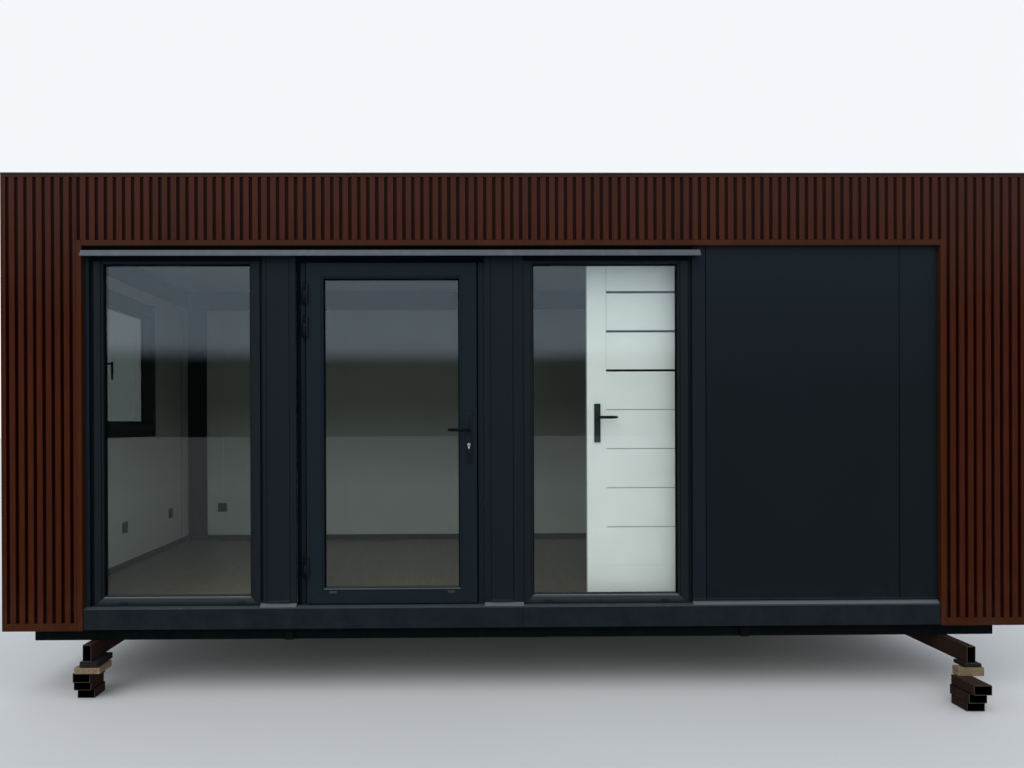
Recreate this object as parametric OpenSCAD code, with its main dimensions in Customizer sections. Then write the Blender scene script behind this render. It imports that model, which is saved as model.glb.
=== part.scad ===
/* [Overall] */
// Length over the slatted cladding
body_len = 6000; // [5800:20:6400]
// Width from the cladding face to the face of the back wall
body_w = 3000; // [2800:20:3200]
// Height of the stacks under the skids
support_h = 330; // [320:5:400]
// Height of the skids
skid_h = 72; // [60:2:100]
// Height of the floor rail that carries the walls
floor_rail_h = 98; // [80:2:120]
// Height from the floor covering to the ceiling
room_h = 2336; // [2300:4:2700]

/* [Walls] */
// Thickness of the end and back walls
wall_t = 120; // [80:5:140]
// How far the posts and rails stand into the room from the walls
post_proud = 4; // [2:1:8]
// Width of a corner post along each wall
post_w = 300; // [240:10:340]
// Inside face of the front wall, back from the cladding face
front_in = 165; // [150:5:200]
// Face of the anthracite covers, back from the cladding face
cover_face = 31; // [26:1:40]
// Thickness of the anthracite covers
cover_t = 25; // [18:1:27]
// Face of the frames under the covers, back from the cladding face
steel_face = 45; // [42:1:50]

/* [Floor and roof] */
// Thickness of the floor covering
covering_t = 12; // [4:1:14]
// Thickness of the ceiling panel
ceiling_t = 60; // [40:5:80]
// How far the roof rail hangs below the ceiling
rail_drop = 172; // [150:2:190]
// Air space between the ceiling and the roof sheet
roof_air = 130; // [100:1:200]
// Thickness of the roof sheet
roof_sheet_t = 3; // [2:1:6]
// Height of a rib of the roof sheet
roof_rib_h = 20; // [12:1:21]
// Spacing of the ribs of the roof sheet
roof_rib_pitch = 250; // [200:10:300]
// Thickness of the roof edge cap
cap_t = 9; // [5:1:12]
// Overhang of the roof edge cap past the cladding face
cap_over = 5; // [2:1:12]

/* [Skids] */
// Inset of the skids from the ends of the cabin
skid_inset_x = 160; // [120:5:220]
// Inset of the skids from the cladding face
skid_inset_y = 60; // [60:5:100]
// Width of a skid
skid_w = 60; // [40:5:80]
// Distance between the two lifting bearers
bearer_span = 2692; // [2400:20:2900]
// Distance from an end of the skids to the middle of the end bearer
end_bearer_in = 148; // [100:4:220]
// Width of a bearer
bearer_w = 50; // [40:5:80]
// How far a bearer end stands out of the front skid
bearer_out = 20; // [10:1:30]

/* [Supports] */
// Width of a support tube
tube_w = 50; // [40:2:60]
// Height of a support tube set on edge
tube_h = 96; // [80:2:110]
// Wall of a support tube
tube_wall = 4; // [3:0.5:6]
// Length of the longest flat tube in a stack
packer_len = 200; // [160:5:260]
// Height of the timber block
timber_h = 50; // [40:2:60]
// Width of the timber block
timber_w = 150; // [140:5:180]
// Distance from an end of the cabin to the middle of a stack
stack_inset = 460; // [400:10:600]
// How far the right upper tube reaches out in front
tube_out = 200; // [100:10:240]
// How far the left upper tube reaches out in front
tube_out_left = 46; // [20:2:100]
// How far the lowest flat tube reaches out in front on the right
flat_out = 300; // [280:5:330]

/* [Front layout] */
// Width of the left cladding column
column_left_w = 465; // [440:5:500]
// Width of the right cladding column
column_right_w = 505; // [440:5:540]
// Width of the shadow gap and jamb beside the left window
jamb_w = 46; // [40:1:60]
// Width of each fixed window
window_w = 978; // [940:2:1000]
// Width of the left pilaster
pilaster_left_w = 212; // [200:2:230]
// Shadow gap between the left window and its pilaster
pilaster_gap = 18; // [4:1:24]
// Width of the right pilaster
pilaster_right_w = 230; // [200:2:240]
// Shadow gap between the right window and its post
window_gap = 22; // [4:1:30]
// Width of the post beside the right window
slim_post_w = 82; // [76:2:120]
// Width of the narrow blank panel
narrow_panel_w = 227; // [180:1:300]
// Joint between two blank panels
panel_joint = 4; // [2:1:8]

/* [Front heights] */
// Height of the sill top at the windows above the top of the floor rail
sill_up = 32; // [26:1:40]
// Height of the front wall over the windows and the door
head_h = 76; // [60:2:90]
// Height of the fascia underside above the windows
fascia_up = 39; // [30:1:50]
// Distance from the fascia underside down to the drip strip
strip_drop = 28; // [20:1:40]
// Height of the drip strip
strip_h = 37; // [25:1:45]

/* [Cladding] */
// Spacing of the grooves
groove_pitch = 52.5; // [50:0.1:60]
// Width of a groove
groove_w = 20.5; // [12:0.5:22]
// Depth of a groove
groove_d = 13; // [8:0.5:16]
// Thickness of the slatted boards
board_t = 25; // [20:1:30]
// Height of the trim at the feet of the columns
foot_trim_h = 44; // [30:1:60]
// Width of the cladding trims
trim_w = 32; // [26:1:40]
// Height of the top trim
top_trim_h = 16; // [12:1:34]

/* [Windows] */
// Width of a window frame bar
frame_w = 60; // [50:1:70]
// Height of the bottom bar of a window frame
foot_bar_h = 52; // [44:1:60]
// Width of a glazing bead
bead_w = 14; // [10:1:20]
// Face of the window frames, back from the cladding face
frame_face = 40; // [38:1:44]
// Depth of a window frame
frame_d = 70; // [60:2:80]
// Thickness of the glass units
glass_t = 24; // [16:2:28]
// Distance from the frame face to the glass
glass_in = 32; // [24:1:36]

/* [Front door] */
// Width of the door leaf
leaf_w = 1002; // [900:2:1100]
// Thickness of the door leaf
leaf_t = 70; // [60:2:75]
// Width of a door stile
stile_w = 102; // [90:2:120]
// Height of the bottom rail of the leaf
rail_h = 88; // [80:2:120]
// Face of the door leaf, back from the cladding face
leaf_face = 42; // [41:1:44]
// Clearance round the leaf
leaf_gap = 6; // [5:0.5:8]
// Clearance beside the swinging edge of the leaf
swing_gap = 9; // [8.5:0.5:12]
// Overlap of the door stops
stop_w = 15; // [10:1:20]
// Width of the hinge jamb
hinge_jamb_w = 53; // [50:1:58]
// Width of the lock jamb
lock_jamb_w = 35; // [34:1:50]
// Height of the threshold above the sill
threshold_h = 3; // [2:1:6]
// Radius of a hinge barrel
hinge_r = 8; // [7:0.5:9]
// Height of a hinge
hinge_h = 117; // [100:1:130]
// Face of the hinge axis, back from the cladding face
hinge_face = 30; // [28:1:31]
// Distance from the leaf edge to the middle of the lock
lock_in = 47; // [40:1:55]
// Height of the front frame over the leaf
door_head_h = 48; // [40:1:60]
// Height of the levers above the foot of the leaf
lever_up = 1020; // [980:5:1080]
// Radius of a lever neck
neck_r = 8; // [7:0.5:10]
// Radius of a lever spindle
spindle_r = 4.5; // [4:0.5:5]
// Length of the front lever
lever_len = 132; // [110:2:140]
// Height of the front lock plate
plate_h = 300; // [270:5:310]
// Width of the front lock plate
plate_w = 42; // [30:1:44]
// Thickness of the lock plates
plate_t = 7; // [5:1:10]

/* [Side room] */
// Distance from the slim post to the room face of the partition
partition_in = 59; // [50:1:76]
// Thickness of the partition
partition_t = 80; // [70:5:100]
// Width of the inner door leaf
inner_leaf_w = 644; // [600:2:660]
// Height of the partition over the inner door frame
over_door_h = 236; // [200:2:400]
// Thickness of the inner door leaf
inner_leaf_t = 40; // [35:1:45]
// Clearance round the inner door leaf
inner_gap = 5; // [5:0.5:8]
// Height of the inner leaf above the floor covering
inner_lift = 20; // [10:1:30]
// Width of the inner door jambs
inner_jamb_w = 40; // [35:1:40]
// Width of the lock side of the inner door beside its inlays
inner_stile_w = 118; // [100:2:130]
// Width of the hinge side of the inner door beside its inlays
inner_hinge_side_w = 78; // [60:1:118]
// Spacing of the inlays and grooves of the inner door
inlay_pitch = 239; // [220:1:245]
// Height of an inlay strip
inlay_h = 14; // [8:1:16]
// Height of the inner lever above the foot of the leaf
inner_lever_up = 1101; // [1000:1:1150]
// Reach of the inner lever
inner_lever_len = 118; // [100:2:130]

/* [End window] */
// Width of the end window
end_window_w = 1108; // [900:4:1200]
// Height of the end window
end_window_h = 1090; // [900:5:1150]
// Height of the wall between the end window and the roof rail
end_window_under = 86; // [60:2:140]

/* [Sockets] */
// Width and height of a socket
socket_w = 83; // [70:1:90]
// Height of the middle of the sockets above the floor covering
socket_up = 306; // [250:2:400]
// Distance of the first end socket from the cladding face
socket_first = 1435; // [900:5:1600]
// Distance of the second end socket from the cladding face
socket_second = 2409; // [2200:1:2500]
// Distance of the back socket from the left end of the cabin
socket_back = 444; // [400:2:2000]

/* [Hidden] */
$fn = 48;

// Levels above the ground
skid_z = support_h;
rail_z = skid_z + skid_h;
wall_z = rail_z + floor_rail_h;
sill_z = wall_z + sill_up;
floor_z = wall_z + covering_t;
ceiling_z = floor_z + room_h;
roof_rail_z = ceiling_z - rail_drop;
roof_z = ceiling_z + ceiling_t + roof_air;
head_z = roof_rail_z - head_h;
fascia_z = head_z + fascia_up;
top_trim_top = roof_z + 16;
column_foot = -4;
seat = 0.3;

// Places along the length
door_bay_w = hinge_jamb_w + leaf_gap + leaf_w + swing_gap + lock_jamb_w;
left_x = -body_len / 2;
right_x = body_len / 2;
recess_l = left_x + column_left_w;
recess_r = right_x - column_right_w;
window_left_x = recess_l + jamb_w;
pilaster_left_x = window_left_x + window_w;
door_bay_x = pilaster_left_x + pilaster_left_w;
pilaster_right_x = door_bay_x + door_bay_w;
window_right_x = pilaster_right_x + pilaster_right_w;
slim_post_x = window_right_x + window_w + window_gap;
wide_panel_x = slim_post_x + slim_post_w;
narrow_panel_x = recess_r - narrow_panel_w;
partition_x = slim_post_x + partition_in;
in_left = left_x + wall_t;
in_right = right_x - wall_t;

// Places across the width, from the cladding face at the front to the back wall face
function deep(d) = d - body_w / 2;
back_y = body_w / 2;
in_back = back_y - wall_t;

// A box between two corners
module span(a, b) {
    translate(a) cube([b[0] - a[0], b[1] - a[1], b[2] - a[2]]);
}

// A flat ring lying level, with its bars set in from the outline
module level_ring(a, b, bar_x, bar_front, bar_back, z, h) {
    difference() {
        span([a[0], a[1], z], [b[0], b[1], z + h]);
        span([a[0] + bar_x, a[1] + bar_front, z - 1], [b[0] - bar_x, b[1] - bar_back, z + h + 1]);
    }
}

// A prism along the length from an outline of depths and heights
module along_x(x0, x1, outline) {
    translate([x0, 0, 0]) rotate([90, 0, 90]) linear_extrude(height = x1 - x0)
        polygon([for (p = outline) [deep(p[0]), p[1]]]);
}

// Skids and lifting bearers
skid_y0 = deep(skid_inset_y);
skid_y1 = back_y - skid_inset_y;
module skid_bearer(x, out) {
    span([x - bearer_w / 2, skid_y0 - out, skid_z], [x + bearer_w / 2, skid_y1 + out, rail_z]);
}
module skids() {
    color([0.10, 0.10, 0.11]) {
        level_ring([left_x + skid_inset_x, skid_y0], [right_x - skid_inset_x, skid_y1],
            skid_w, skid_w, skid_w, skid_z, skid_h);
        for (side = [-1, 0, 1])
            skid_bearer(side * (body_len / 2 - skid_inset_x - end_bearer_in), 0);
        for (side = [-1, 1])
            skid_bearer(side * bearer_span / 2, bearer_out);
    }
}

// Steel rail round the floor that the walls stand on
module floor_rail() {
    color([0.13, 0.15, 0.18])
        level_ring([left_x, deep(steel_face)], [right_x, back_y],
            wall_t, front_in - steel_face, wall_t, rail_z, floor_rail_h);
}

// Folded sill in front of the recess, with its upstand under the frames
sill_face = 8;
sill_drop = 11;
sill_seam = 2;
module front_sill() {
    color([0.14, 0.17, 0.20]) {
        difference() {
            along_x(recess_l, recess_r, [[sill_face, rail_z], [steel_face, rail_z], [steel_face, sill_z],
                [cover_face, sill_z], [sill_face, sill_z - sill_drop]]);
            span([window_right_x - sill_seam - 8, deep(0), rail_z - 1],
                [window_right_x - 8, deep(sill_face + 3), sill_z]);
        }
        span([left_x + post_w, deep(steel_face) + seat, wall_z], [right_x - post_w, deep(front_in), sill_z]);
    }
}

// Insulated floor between the rails
module insulated_floor() {
    color([0.45, 0.43, 0.40])
        span([in_left, deep(front_in), rail_z], [in_right, in_back, wall_z]);
}

// Floor covering inside the walls
module floor_covering() {
    color([0.36, 0.33, 0.29])
        span([in_left + post_proud, deep(front_in + post_proud), wall_z],
            [in_right - post_proud, in_back - post_proud, floor_z]);
}

// Corner posts with one leg along each wall
module corner_post(sx, sy) {
    y_out = sy < 0 ? deep(steel_face) : back_y;
    leg_x = wall_t + post_proud;
    leg_y = sy < 0 ? front_in - steel_face + post_proud : wall_t + post_proud;
    x0 = sx < 0 ? left_x : right_x - post_w;
    x1 = sx < 0 ? left_x : right_x - leg_x;
    y0 = sy < 0 ? y_out : y_out - leg_y;
    y1 = sy < 0 ? y_out : y_out - post_w;
    span([x0, y0, wall_z], [x0 + post_w, y0 + leg_y, roof_rail_z]);
    span([x1, y1, wall_z], [x1 + leg_x, y1 + post_w, roof_rail_z]);
}
module corner_posts() {
    color([0.13, 0.15, 0.18]) for (sx = [-1, 1], sy = [-1, 1]) corner_post(sx, sy);
}

// Roof rail round the top of the walls
module roof_rail() {
    color([0.13, 0.15, 0.18])
        level_ring([left_x, deep(steel_face)], [right_x, back_y],
            wall_t + post_proud, front_in - steel_face + post_proud, wall_t + post_proud,
            roof_rail_z, roof_z - roof_rail_z);
}

// Ceiling panel inside the roof rail
module ceiling() {
    color([0.86, 0.87, 0.86])
        span([in_left + post_proud, deep(front_in + post_proud), ceiling_z],
            [in_right - post_proud, in_back - post_proud, ceiling_z + ceiling_t]);
}

// Roof sheet between the edges of the roof, and the ribs over its seams
rib_foot = 60;
rib_top = 30;
module roof_sheet() {
    color([0.33, 0.35, 0.37])
        span([left_x + wall_t, deep(front_in), roof_z], [right_x - wall_t, in_back, roof_z + roof_sheet_t]);
}
module roof_ribs() {
    run = body_len - 2 * wall_t;
    ribs = floor((run - rib_foot) / roof_rib_pitch / 2);
    color([0.33, 0.35, 0.37]) for (i = [-ribs : ribs])
        translate([i * roof_rib_pitch, in_back, roof_z + roof_sheet_t + seat]) rotate([90, 0, 0])
            linear_extrude(height = in_back - deep(front_in))
                polygon([[-rib_foot / 2, 0], [rib_foot / 2, 0],
                    [rib_top / 2, roof_rib_h], [-rib_top / 2, roof_rib_h]]);
}

// Cap along the four edges of the roof
module roof_edge_cap() {
    color([0.12, 0.13, 0.15]) {
        level_ring([left_x, deep(-cap_over)], [right_x, back_y + cap_over],
            wall_t, front_in + cap_over, wall_t + cap_over, top_trim_top, cap_t);
        level_ring([left_x, deep(steel_face)], [right_x, back_y],
            wall_t, front_in - steel_face, wall_t, roof_z, top_trim_top - roof_z);
    }
}

// End walls, back wall and the window opening in the left end
end_y0 = deep(steel_face) + post_w;
end_y1 = back_y - post_w;
end_window_y = (deep(steel_face) + back_y) / 2 - end_window_w / 2;
end_window_z = roof_rail_z - end_window_under - end_window_h;
module end_wall_left() {
    color([0.20, 0.22, 0.25]) difference() {
        span([left_x, end_y0, wall_z], [in_left, end_y1, roof_rail_z]);
        span([left_x - 1, end_window_y, end_window_z],
            [in_left + 1, end_window_y + end_window_w, end_window_z + end_window_h]);
    }
}
module end_wall_right() {
    color([0.20, 0.22, 0.25]) span([in_right, end_y0, wall_z], [right_x, end_y1, roof_rail_z]);
}
module back_wall() {
    color([0.20, 0.22, 0.25])
        span([left_x + post_w, in_back, wall_z], [right_x - post_w, back_y, roof_rail_z]);
}

// Front wall, split beside and over the windows and the door
core_face = cover_face + cover_t;
module front_core(x0, x1, z0, z1) {
    span([x0, deep(core_face), z0], [x1, deep(front_in), z1]);
}
module front_wall() {
    color([0.86, 0.87, 0.86]) {
        front_core(left_x + post_w, window_left_x, sill_z, head_z);
        front_core(pilaster_left_x, door_bay_x, sill_z, head_z);
        front_core(pilaster_right_x, window_right_x, sill_z, head_z);
        front_core(window_right_x + window_w, right_x - post_w, sill_z, head_z);
    }
}
module front_wall_head() {
    color([0.86, 0.87, 0.86]) front_core(left_x + post_w, right_x - post_w, head_z, roof_rail_z);
}

// Battens between the steel and the slatted boards
batten_h = 50;
batten_in = 40;
batten_gap = 10;
batten_rows = 4;
module batten(x0, x1, z) {
    span([x0, deep(board_t), z], [x1, deep(steel_face), z + batten_h]);
}
module cladding_battens() {
    column_z = [for (i = [0 : batten_rows - 1])
        column_z0 + batten_gap + i * (fascia_z - batten_h - column_z0 - 2 * batten_gap) / (batten_rows - 1)];
    color([0.50, 0.40, 0.28]) {
        for (z = column_z) {
            batten(left_x + batten_in, recess_l - trim_w, z);
            batten(recess_r + trim_w, right_x - batten_in, z);
        }
        for (z = [fascia_z + trim_w + batten_gap, slat_top - batten_h - batten_gap])
            batten(left_x + batten_in, right_x - batten_in, z);
    }
}

// Slatted boards: one comb profile cut by grooves at an even pitch
column_first = 38.5;
fascia_first = 450;
groove_taper = 1.5;
corner_trim = 12;
function groove_points(x) = [
    [x - groove_w / 2, 0], [x - groove_w / 2 + groove_taper, groove_d],
    [x + groove_w / 2 - groove_taper, groove_d], [x + groove_w / 2, 0]];
module slats(x0, x1, z0, z1, first) {
    land = groove_w / 2 + 3;
    k0 = ceil((x0 + land - first) / groove_pitch);
    k1 = floor((x1 - land - first) / groove_pitch);
    edge = [for (k = [k0 : k1]) each groove_points(first + k * groove_pitch)];
    translate([0, deep(0), z0]) linear_extrude(height = z1 - z0)
        polygon(concat([[x0, 0]], edge, [[x1, 0], [x1, board_t], [x0, board_t]]));
}
column_z0 = rail_z + column_foot + foot_trim_h;
slat_top = top_trim_top - top_trim_h;
module cladding_columns() {
    color([0.27, 0.14, 0.09]) {
        slats(left_x + corner_trim, recess_l - trim_w, column_z0, slat_top, left_x + column_first);
        slats(recess_r + trim_w, right_x - corner_trim, column_z0, slat_top, right_x - column_first);
    }
}
module cladding_fascia() {
    color([0.27, 0.14, 0.09])
        slats(recess_l - trim_w + seat, recess_r + trim_w - seat, fascia_z + trim_w, slat_top,
            left_x + fascia_first);
}

// Trims along the top, the feet and the two outer corners
module cladding_trims() {
    color([0.29, 0.15, 0.10]) {
        span([left_x, deep(0), slat_top], [right_x, deep(steel_face), top_trim_top]);
        for (x = [[left_x, recess_l], [recess_r, right_x]])
            span([x[0], deep(0), rail_z + column_foot], [x[1], deep(steel_face), column_z0]);
        for (x = [left_x, right_x - corner_trim])
            span([x, deep(0), column_z0 + seat], [x + corner_trim, deep(steel_face), slat_top - seat]);
    }
}

// Trim round the recess: two uprights and the head
module recess_trim() {
    color([0.29, 0.15, 0.10]) {
        span([recess_l - trim_w, deep(0), column_z0], [recess_l, deep(steel_face), fascia_z + trim_w]);
        span([recess_r, deep(0), column_z0], [recess_r + trim_w, deep(steel_face), fascia_z + trim_w]);
        span([recess_l + seat, deep(0), fascia_z], [recess_r - seat, deep(cover_face), fascia_z + trim_w]);
    }
}

// Light strip that throws the water clear of the windows and the door
strip_out = 25;
strip_past = 36;
module drip_strip() {
    z1 = fascia_z - strip_drop;
    color([0.55, 0.56, 0.57]) along_x(recess_l, slim_post_x + strip_past, [
        [cover_face, z1], [-8, z1], [-strip_out, z1 - strip_h + 6], [-strip_out, z1 - strip_h],
        [-strip_out + 4, z1 - strip_h], [-strip_out + 4, z1 - strip_h + 8], [2, z1 - 6], [cover_face, z1 - 6]]);
}

// Anthracite covers on the front wall, with a small lip along the foot that throws off the water
cover_foot = 20;
line_w = 5;
fine_line_w = 2;
line_d = 6;
strip_w = 38;
strip_wide = 57;
lip_out = 5;
lip_h = 10;
jamb_cover_w = jamb_w - 16;
cover_z = sill_z + cover_foot;
cover_top = fascia_z + trim_w;
module cover(x0, x1, z0, z1) {
    span([x0, deep(cover_face), z0], [x1, deep(core_face), z1]);
}
module foot_lip(x0, x1) {
    along_x(x0, x1, [[cover_face + 1, cover_z + lip_h], [cover_face - lip_out, cover_z + 2],
        [cover_face - lip_out, cover_z], [cover_face + 1, cover_z]]);
}
module pilaster(x0, x1, lines) {
    difference() {
        cover(x0, x1, cover_z, head_z);
        for (line = lines)
            span([line[0], deep(cover_face) - 1, cover_z - 1],
                [line[0] + line[1], deep(cover_face + line_d), head_z + 1]);
    }
    foot_lip(lines[0][0] + lines[0][1], lines[1][0]);
}
module post_covers() {
    color([0.14, 0.17, 0.20]) {
        pilaster(pilaster_left_x + pilaster_gap, door_bay_x,
            [[pilaster_left_x + strip_w, fine_line_w], [door_bay_x - strip_w - fine_line_w, fine_line_w]]);
        pilaster(pilaster_right_x, window_right_x,
            [[pilaster_right_x + strip_w, fine_line_w], [window_right_x - strip_wide - line_w, line_w]]);
        cover(recess_l, recess_l + jamb_cover_w, sill_z, head_z);
        cover(slim_post_x, wide_panel_x - panel_joint, cover_z, cover_top);
        foot_lip(slim_post_x, wide_panel_x - panel_joint);
    }
}
module blank_panels() {
    color([0.14, 0.17, 0.20]) for (x = [[wide_panel_x, narrow_panel_x - panel_joint], [narrow_panel_x, recess_r]]) {
        cover(x[0], x[1], cover_z, cover_top);
        foot_lip(x[0], x[1]);
    }
}
module head_cover() {
    color([0.12, 0.14, 0.17]) cover(recess_l, slim_post_x - seat, head_z, cover_top);
}

// Flashing under the covers, folded out over the slope of the sill
foot_in = 6;
ledge_in = 14;
ledge_rise = 13;
ledge_t = 2;
module base_flashing() {
    ledge_z = sill_z - sill_drop + (ledge_in - sill_face) * sill_drop / (cover_face - sill_face) + seat;
    color([0.14, 0.17, 0.20]) for (x = [[pilaster_left_x, door_bay_x],
            [pilaster_right_x, window_right_x], [slim_post_x, recess_r]])
        along_x(x[0], x[1], [[core_face, sill_z], [core_face, cover_z], [cover_face + foot_in, cover_z],
            [cover_face + foot_in, sill_z + ledge_rise], [ledge_in, ledge_z + ledge_t], [ledge_in, ledge_z],
            [cover_face, sill_z]]);
}

// Fixed windows, each a frame with its glazing bead and one pane
window_x = [window_left_x, window_right_x];
module window_frames() {
    color([0.14, 0.16, 0.19]) for (x = window_x) difference() {
        span([x, deep(frame_face), sill_z], [x + window_w, deep(frame_face + frame_d), head_z]);
        span([x + frame_w, deep(frame_face) - 1, sill_z + foot_bar_h],
            [x + window_w - frame_w, deep(frame_face + frame_d) + 1, head_z - frame_w]);
        span([x + frame_w - bead_w, deep(frame_face) - 1, sill_z + foot_bar_h - bead_w],
            [x + window_w - frame_w + bead_w, deep(frame_face) + glass_in / 2, head_z - frame_w + bead_w]);
    }
}
module window_glass() {
    color([0.55, 0.65, 0.66, 0.4]) for (x = window_x)
        span([x + frame_w, deep(frame_face + glass_in), sill_z + foot_bar_h],
            [x + window_w - frame_w, deep(frame_face + glass_in + glass_t), head_z - frame_w]);
}

// Front door: frame with stops, leaf, glass, hinges, lock plates and lever
leaf_x = door_bay_x + hinge_jamb_w + leaf_gap;
leaf_z = sill_z + threshold_h + leaf_gap;
leaf_top = head_z - door_head_h - leaf_gap;
top_bar_h = rail_h + 4;
leaf_back = leaf_face + leaf_t;
hinge_x = leaf_x - 7;
lock_x = leaf_x + leaf_w - lock_in;
lever_z = leaf_z + lever_up;
module door_frame() {
    stop_face = leaf_back + 5;
    x0 = door_bay_x + hinge_jamb_w;
    x1 = leaf_x + leaf_w + swing_gap;
    z0 = sill_z + threshold_h;
    z1 = leaf_top + leaf_gap - 1;
    color([0.14, 0.16, 0.19]) difference() {
        span([door_bay_x, deep(core_face), sill_z], [pilaster_right_x, deep(front_in), head_z]);
        span([x0, deep(core_face) - 1, z0], [x1, deep(stop_face), z1]);
        span([x0 + stop_w + leaf_gap, deep(stop_face) - 1, z0 + stop_w],
            [x1 - stop_w - swing_gap, deep(front_in) + 1, z1 - stop_w - leaf_gap]);
    }
}
module door_leaf() {
    color([0.14, 0.16, 0.19]) difference() {
        span([leaf_x, deep(leaf_face), leaf_z], [leaf_x + leaf_w, deep(leaf_back), leaf_top]);
        span([leaf_x + stile_w, deep(leaf_face) - 1, leaf_z + rail_h],
            [leaf_x + leaf_w - stile_w, deep(leaf_back) + 1, leaf_top - top_bar_h]);
        span([leaf_x + stile_w - bead_w, deep(leaf_face) - 1, leaf_z + rail_h - bead_w],
            [leaf_x + leaf_w - stile_w + bead_w, deep(leaf_face) + 12, leaf_top - top_bar_h + bead_w]);
        translate([lock_x, deep(leaf_face) - 1, lever_z]) rotate([-90, 0, 0])
            cylinder(r = spindle_r + 1.5, h = leaf_t + 2);
    }
}
module door_glass() {
    color([0.55, 0.65, 0.66, 0.4])
        span([leaf_x + stile_w, deep(leaf_face + 24), leaf_z + rail_h],
            [leaf_x + leaf_w - stile_w, deep(leaf_face + 24 + glass_t), leaf_top - top_bar_h]);
}

// Barrel hinges: the outer knuckles on the frame, the middle one on the leaf
hinge_low = 150;
hinge_high = 240;
hinge_pair = 195;
leaf_h = leaf_top - leaf_z;
hinge_levels = [hinge_low, leaf_h - hinge_high - hinge_pair, leaf_h - hinge_high];
wing = 10;
module door_frame_hinges() {
    y = deep(hinge_face);
    for (up = hinge_levels) translate([hinge_x, y, leaf_z + up]) {
        for (z = [0, hinge_h * 2 / 3]) {
            translate([0, 0, z]) cylinder(r = hinge_r, h = hinge_h / 3 - 0.5);
            span([-hinge_r - 1, -3, z], [0, 3, z + hinge_h / 3 - 0.5]);
        }
        span([-hinge_r - 1 - wing, -4, 0], [-hinge_r - 1, core_face - hinge_face, hinge_h]);
    }
}
module door_leaf_hinges() {
    y = deep(hinge_face);
    for (up = hinge_levels) translate([hinge_x, y, leaf_z + up]) {
        translate([0, 0, hinge_h / 3]) {
            cylinder(r = hinge_r, h = hinge_h / 3 - 0.5);
            span([0, -3, 0], [hinge_r + 1, 3, hinge_h / 3 - 0.5]);
        }
        span([hinge_r + 1, -4, 0], [hinge_r + 1 + wing, leaf_face - hinge_face, hinge_h]);
    }
}

// Lock plates on both faces of a leaf, bored for the neck of the lever
module lock_plate(x, y0, y1, z0, z1, w, bore_z) {
    difference() {
        span([x - w / 2, y0, z0], [x + w / 2, y1, z1]);
        translate([x, y0 - 1, bore_z]) rotate([-90, 0, 0])
            cylinder(r = spindle_r + 1.5, h = y1 - y0 + 2);
    }
}
cylinder_below = 88;
cylinder_out = 8;
cylinder_r = 11;
module door_fittings() {
    z1 = lever_z + plate_h * 0.35;
    color([0.20, 0.22, 0.25]) door_leaf_hinges();
    color([0.08, 0.08, 0.09]) {
        lock_plate(lock_x, deep(leaf_face - plate_t), deep(leaf_face), z1 - plate_h, z1, plate_w, lever_z);
        lock_plate(lock_x, deep(leaf_back), deep(leaf_back + plate_t), z1 - plate_h, z1, plate_w, lever_z);
        for (y = [leaf_face - plate_t - cylinder_out, leaf_back + plate_t])
            translate([lock_x, deep(y), lever_z - cylinder_below]) rotate([-90, 0, 0])
                cylinder(r = cylinder_r, h = cylinder_out);
    }
}

// A pair of levers on one spindle; grip points along reach from the neck
neck_len = 38;
grip_h = 18;
grip_t = 12;
module lever_pair(x, y0, y1, z, reach) {
    grip_x = reach < 0 ? [reach, neck_r] : [-neck_r, reach];
    translate([x, 0, z]) {
        translate([0, y0, 0]) rotate([-90, 0, 0]) cylinder(r = spindle_r, h = y1 - y0);
        for (y = [y0 - neck_len, y1]) translate([0, y, 0]) rotate([-90, 0, 0]) cylinder(r = neck_r, h = neck_len);
        for (y = [y0 - neck_len - grip_t + 4, y1 + neck_len - 4])
            span([grip_x[0], y, -grip_h / 2], [grip_x[1], y + grip_t, grip_h / 2]);
    }
}
module front_lever() {
    color([0.10, 0.10, 0.11]) lever_pair(lock_x, deep(leaf_face - plate_t - seat),
        deep(leaf_back + plate_t + seat), lever_z, neck_r - lever_len);
}

// End window in the left wall
end_frame_t = 70;
module end_ring(d0, d1, bar) {
    difference() {
        span([left_x + d0, end_window_y, end_window_z],
            [left_x + d1, end_window_y + end_window_w, end_window_z + end_window_h]);
        span([left_x + d0 - 1, end_window_y + bar, end_window_z + bar],
            [left_x + d1 + 1, end_window_y + end_window_w - bar, end_window_z + end_window_h - bar]);
    }
}
module end_window_frame() {
    color([0.14, 0.16, 0.19]) {
        end_ring(20, 20 + end_frame_t, frame_w);
        end_ring(12, 20 + end_frame_t, frame_w / 2);
        end_ring(30, 60, frame_w * 2);
    }
}
module end_window_glass() {
    bar = frame_w * 2;
    color([0.55, 0.65, 0.66, 0.4])
        span([left_x + 33, end_window_y + bar, end_window_z + bar],
            [left_x + 57, end_window_y + end_window_w - bar, end_window_z + end_window_h - bar]);
}

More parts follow.
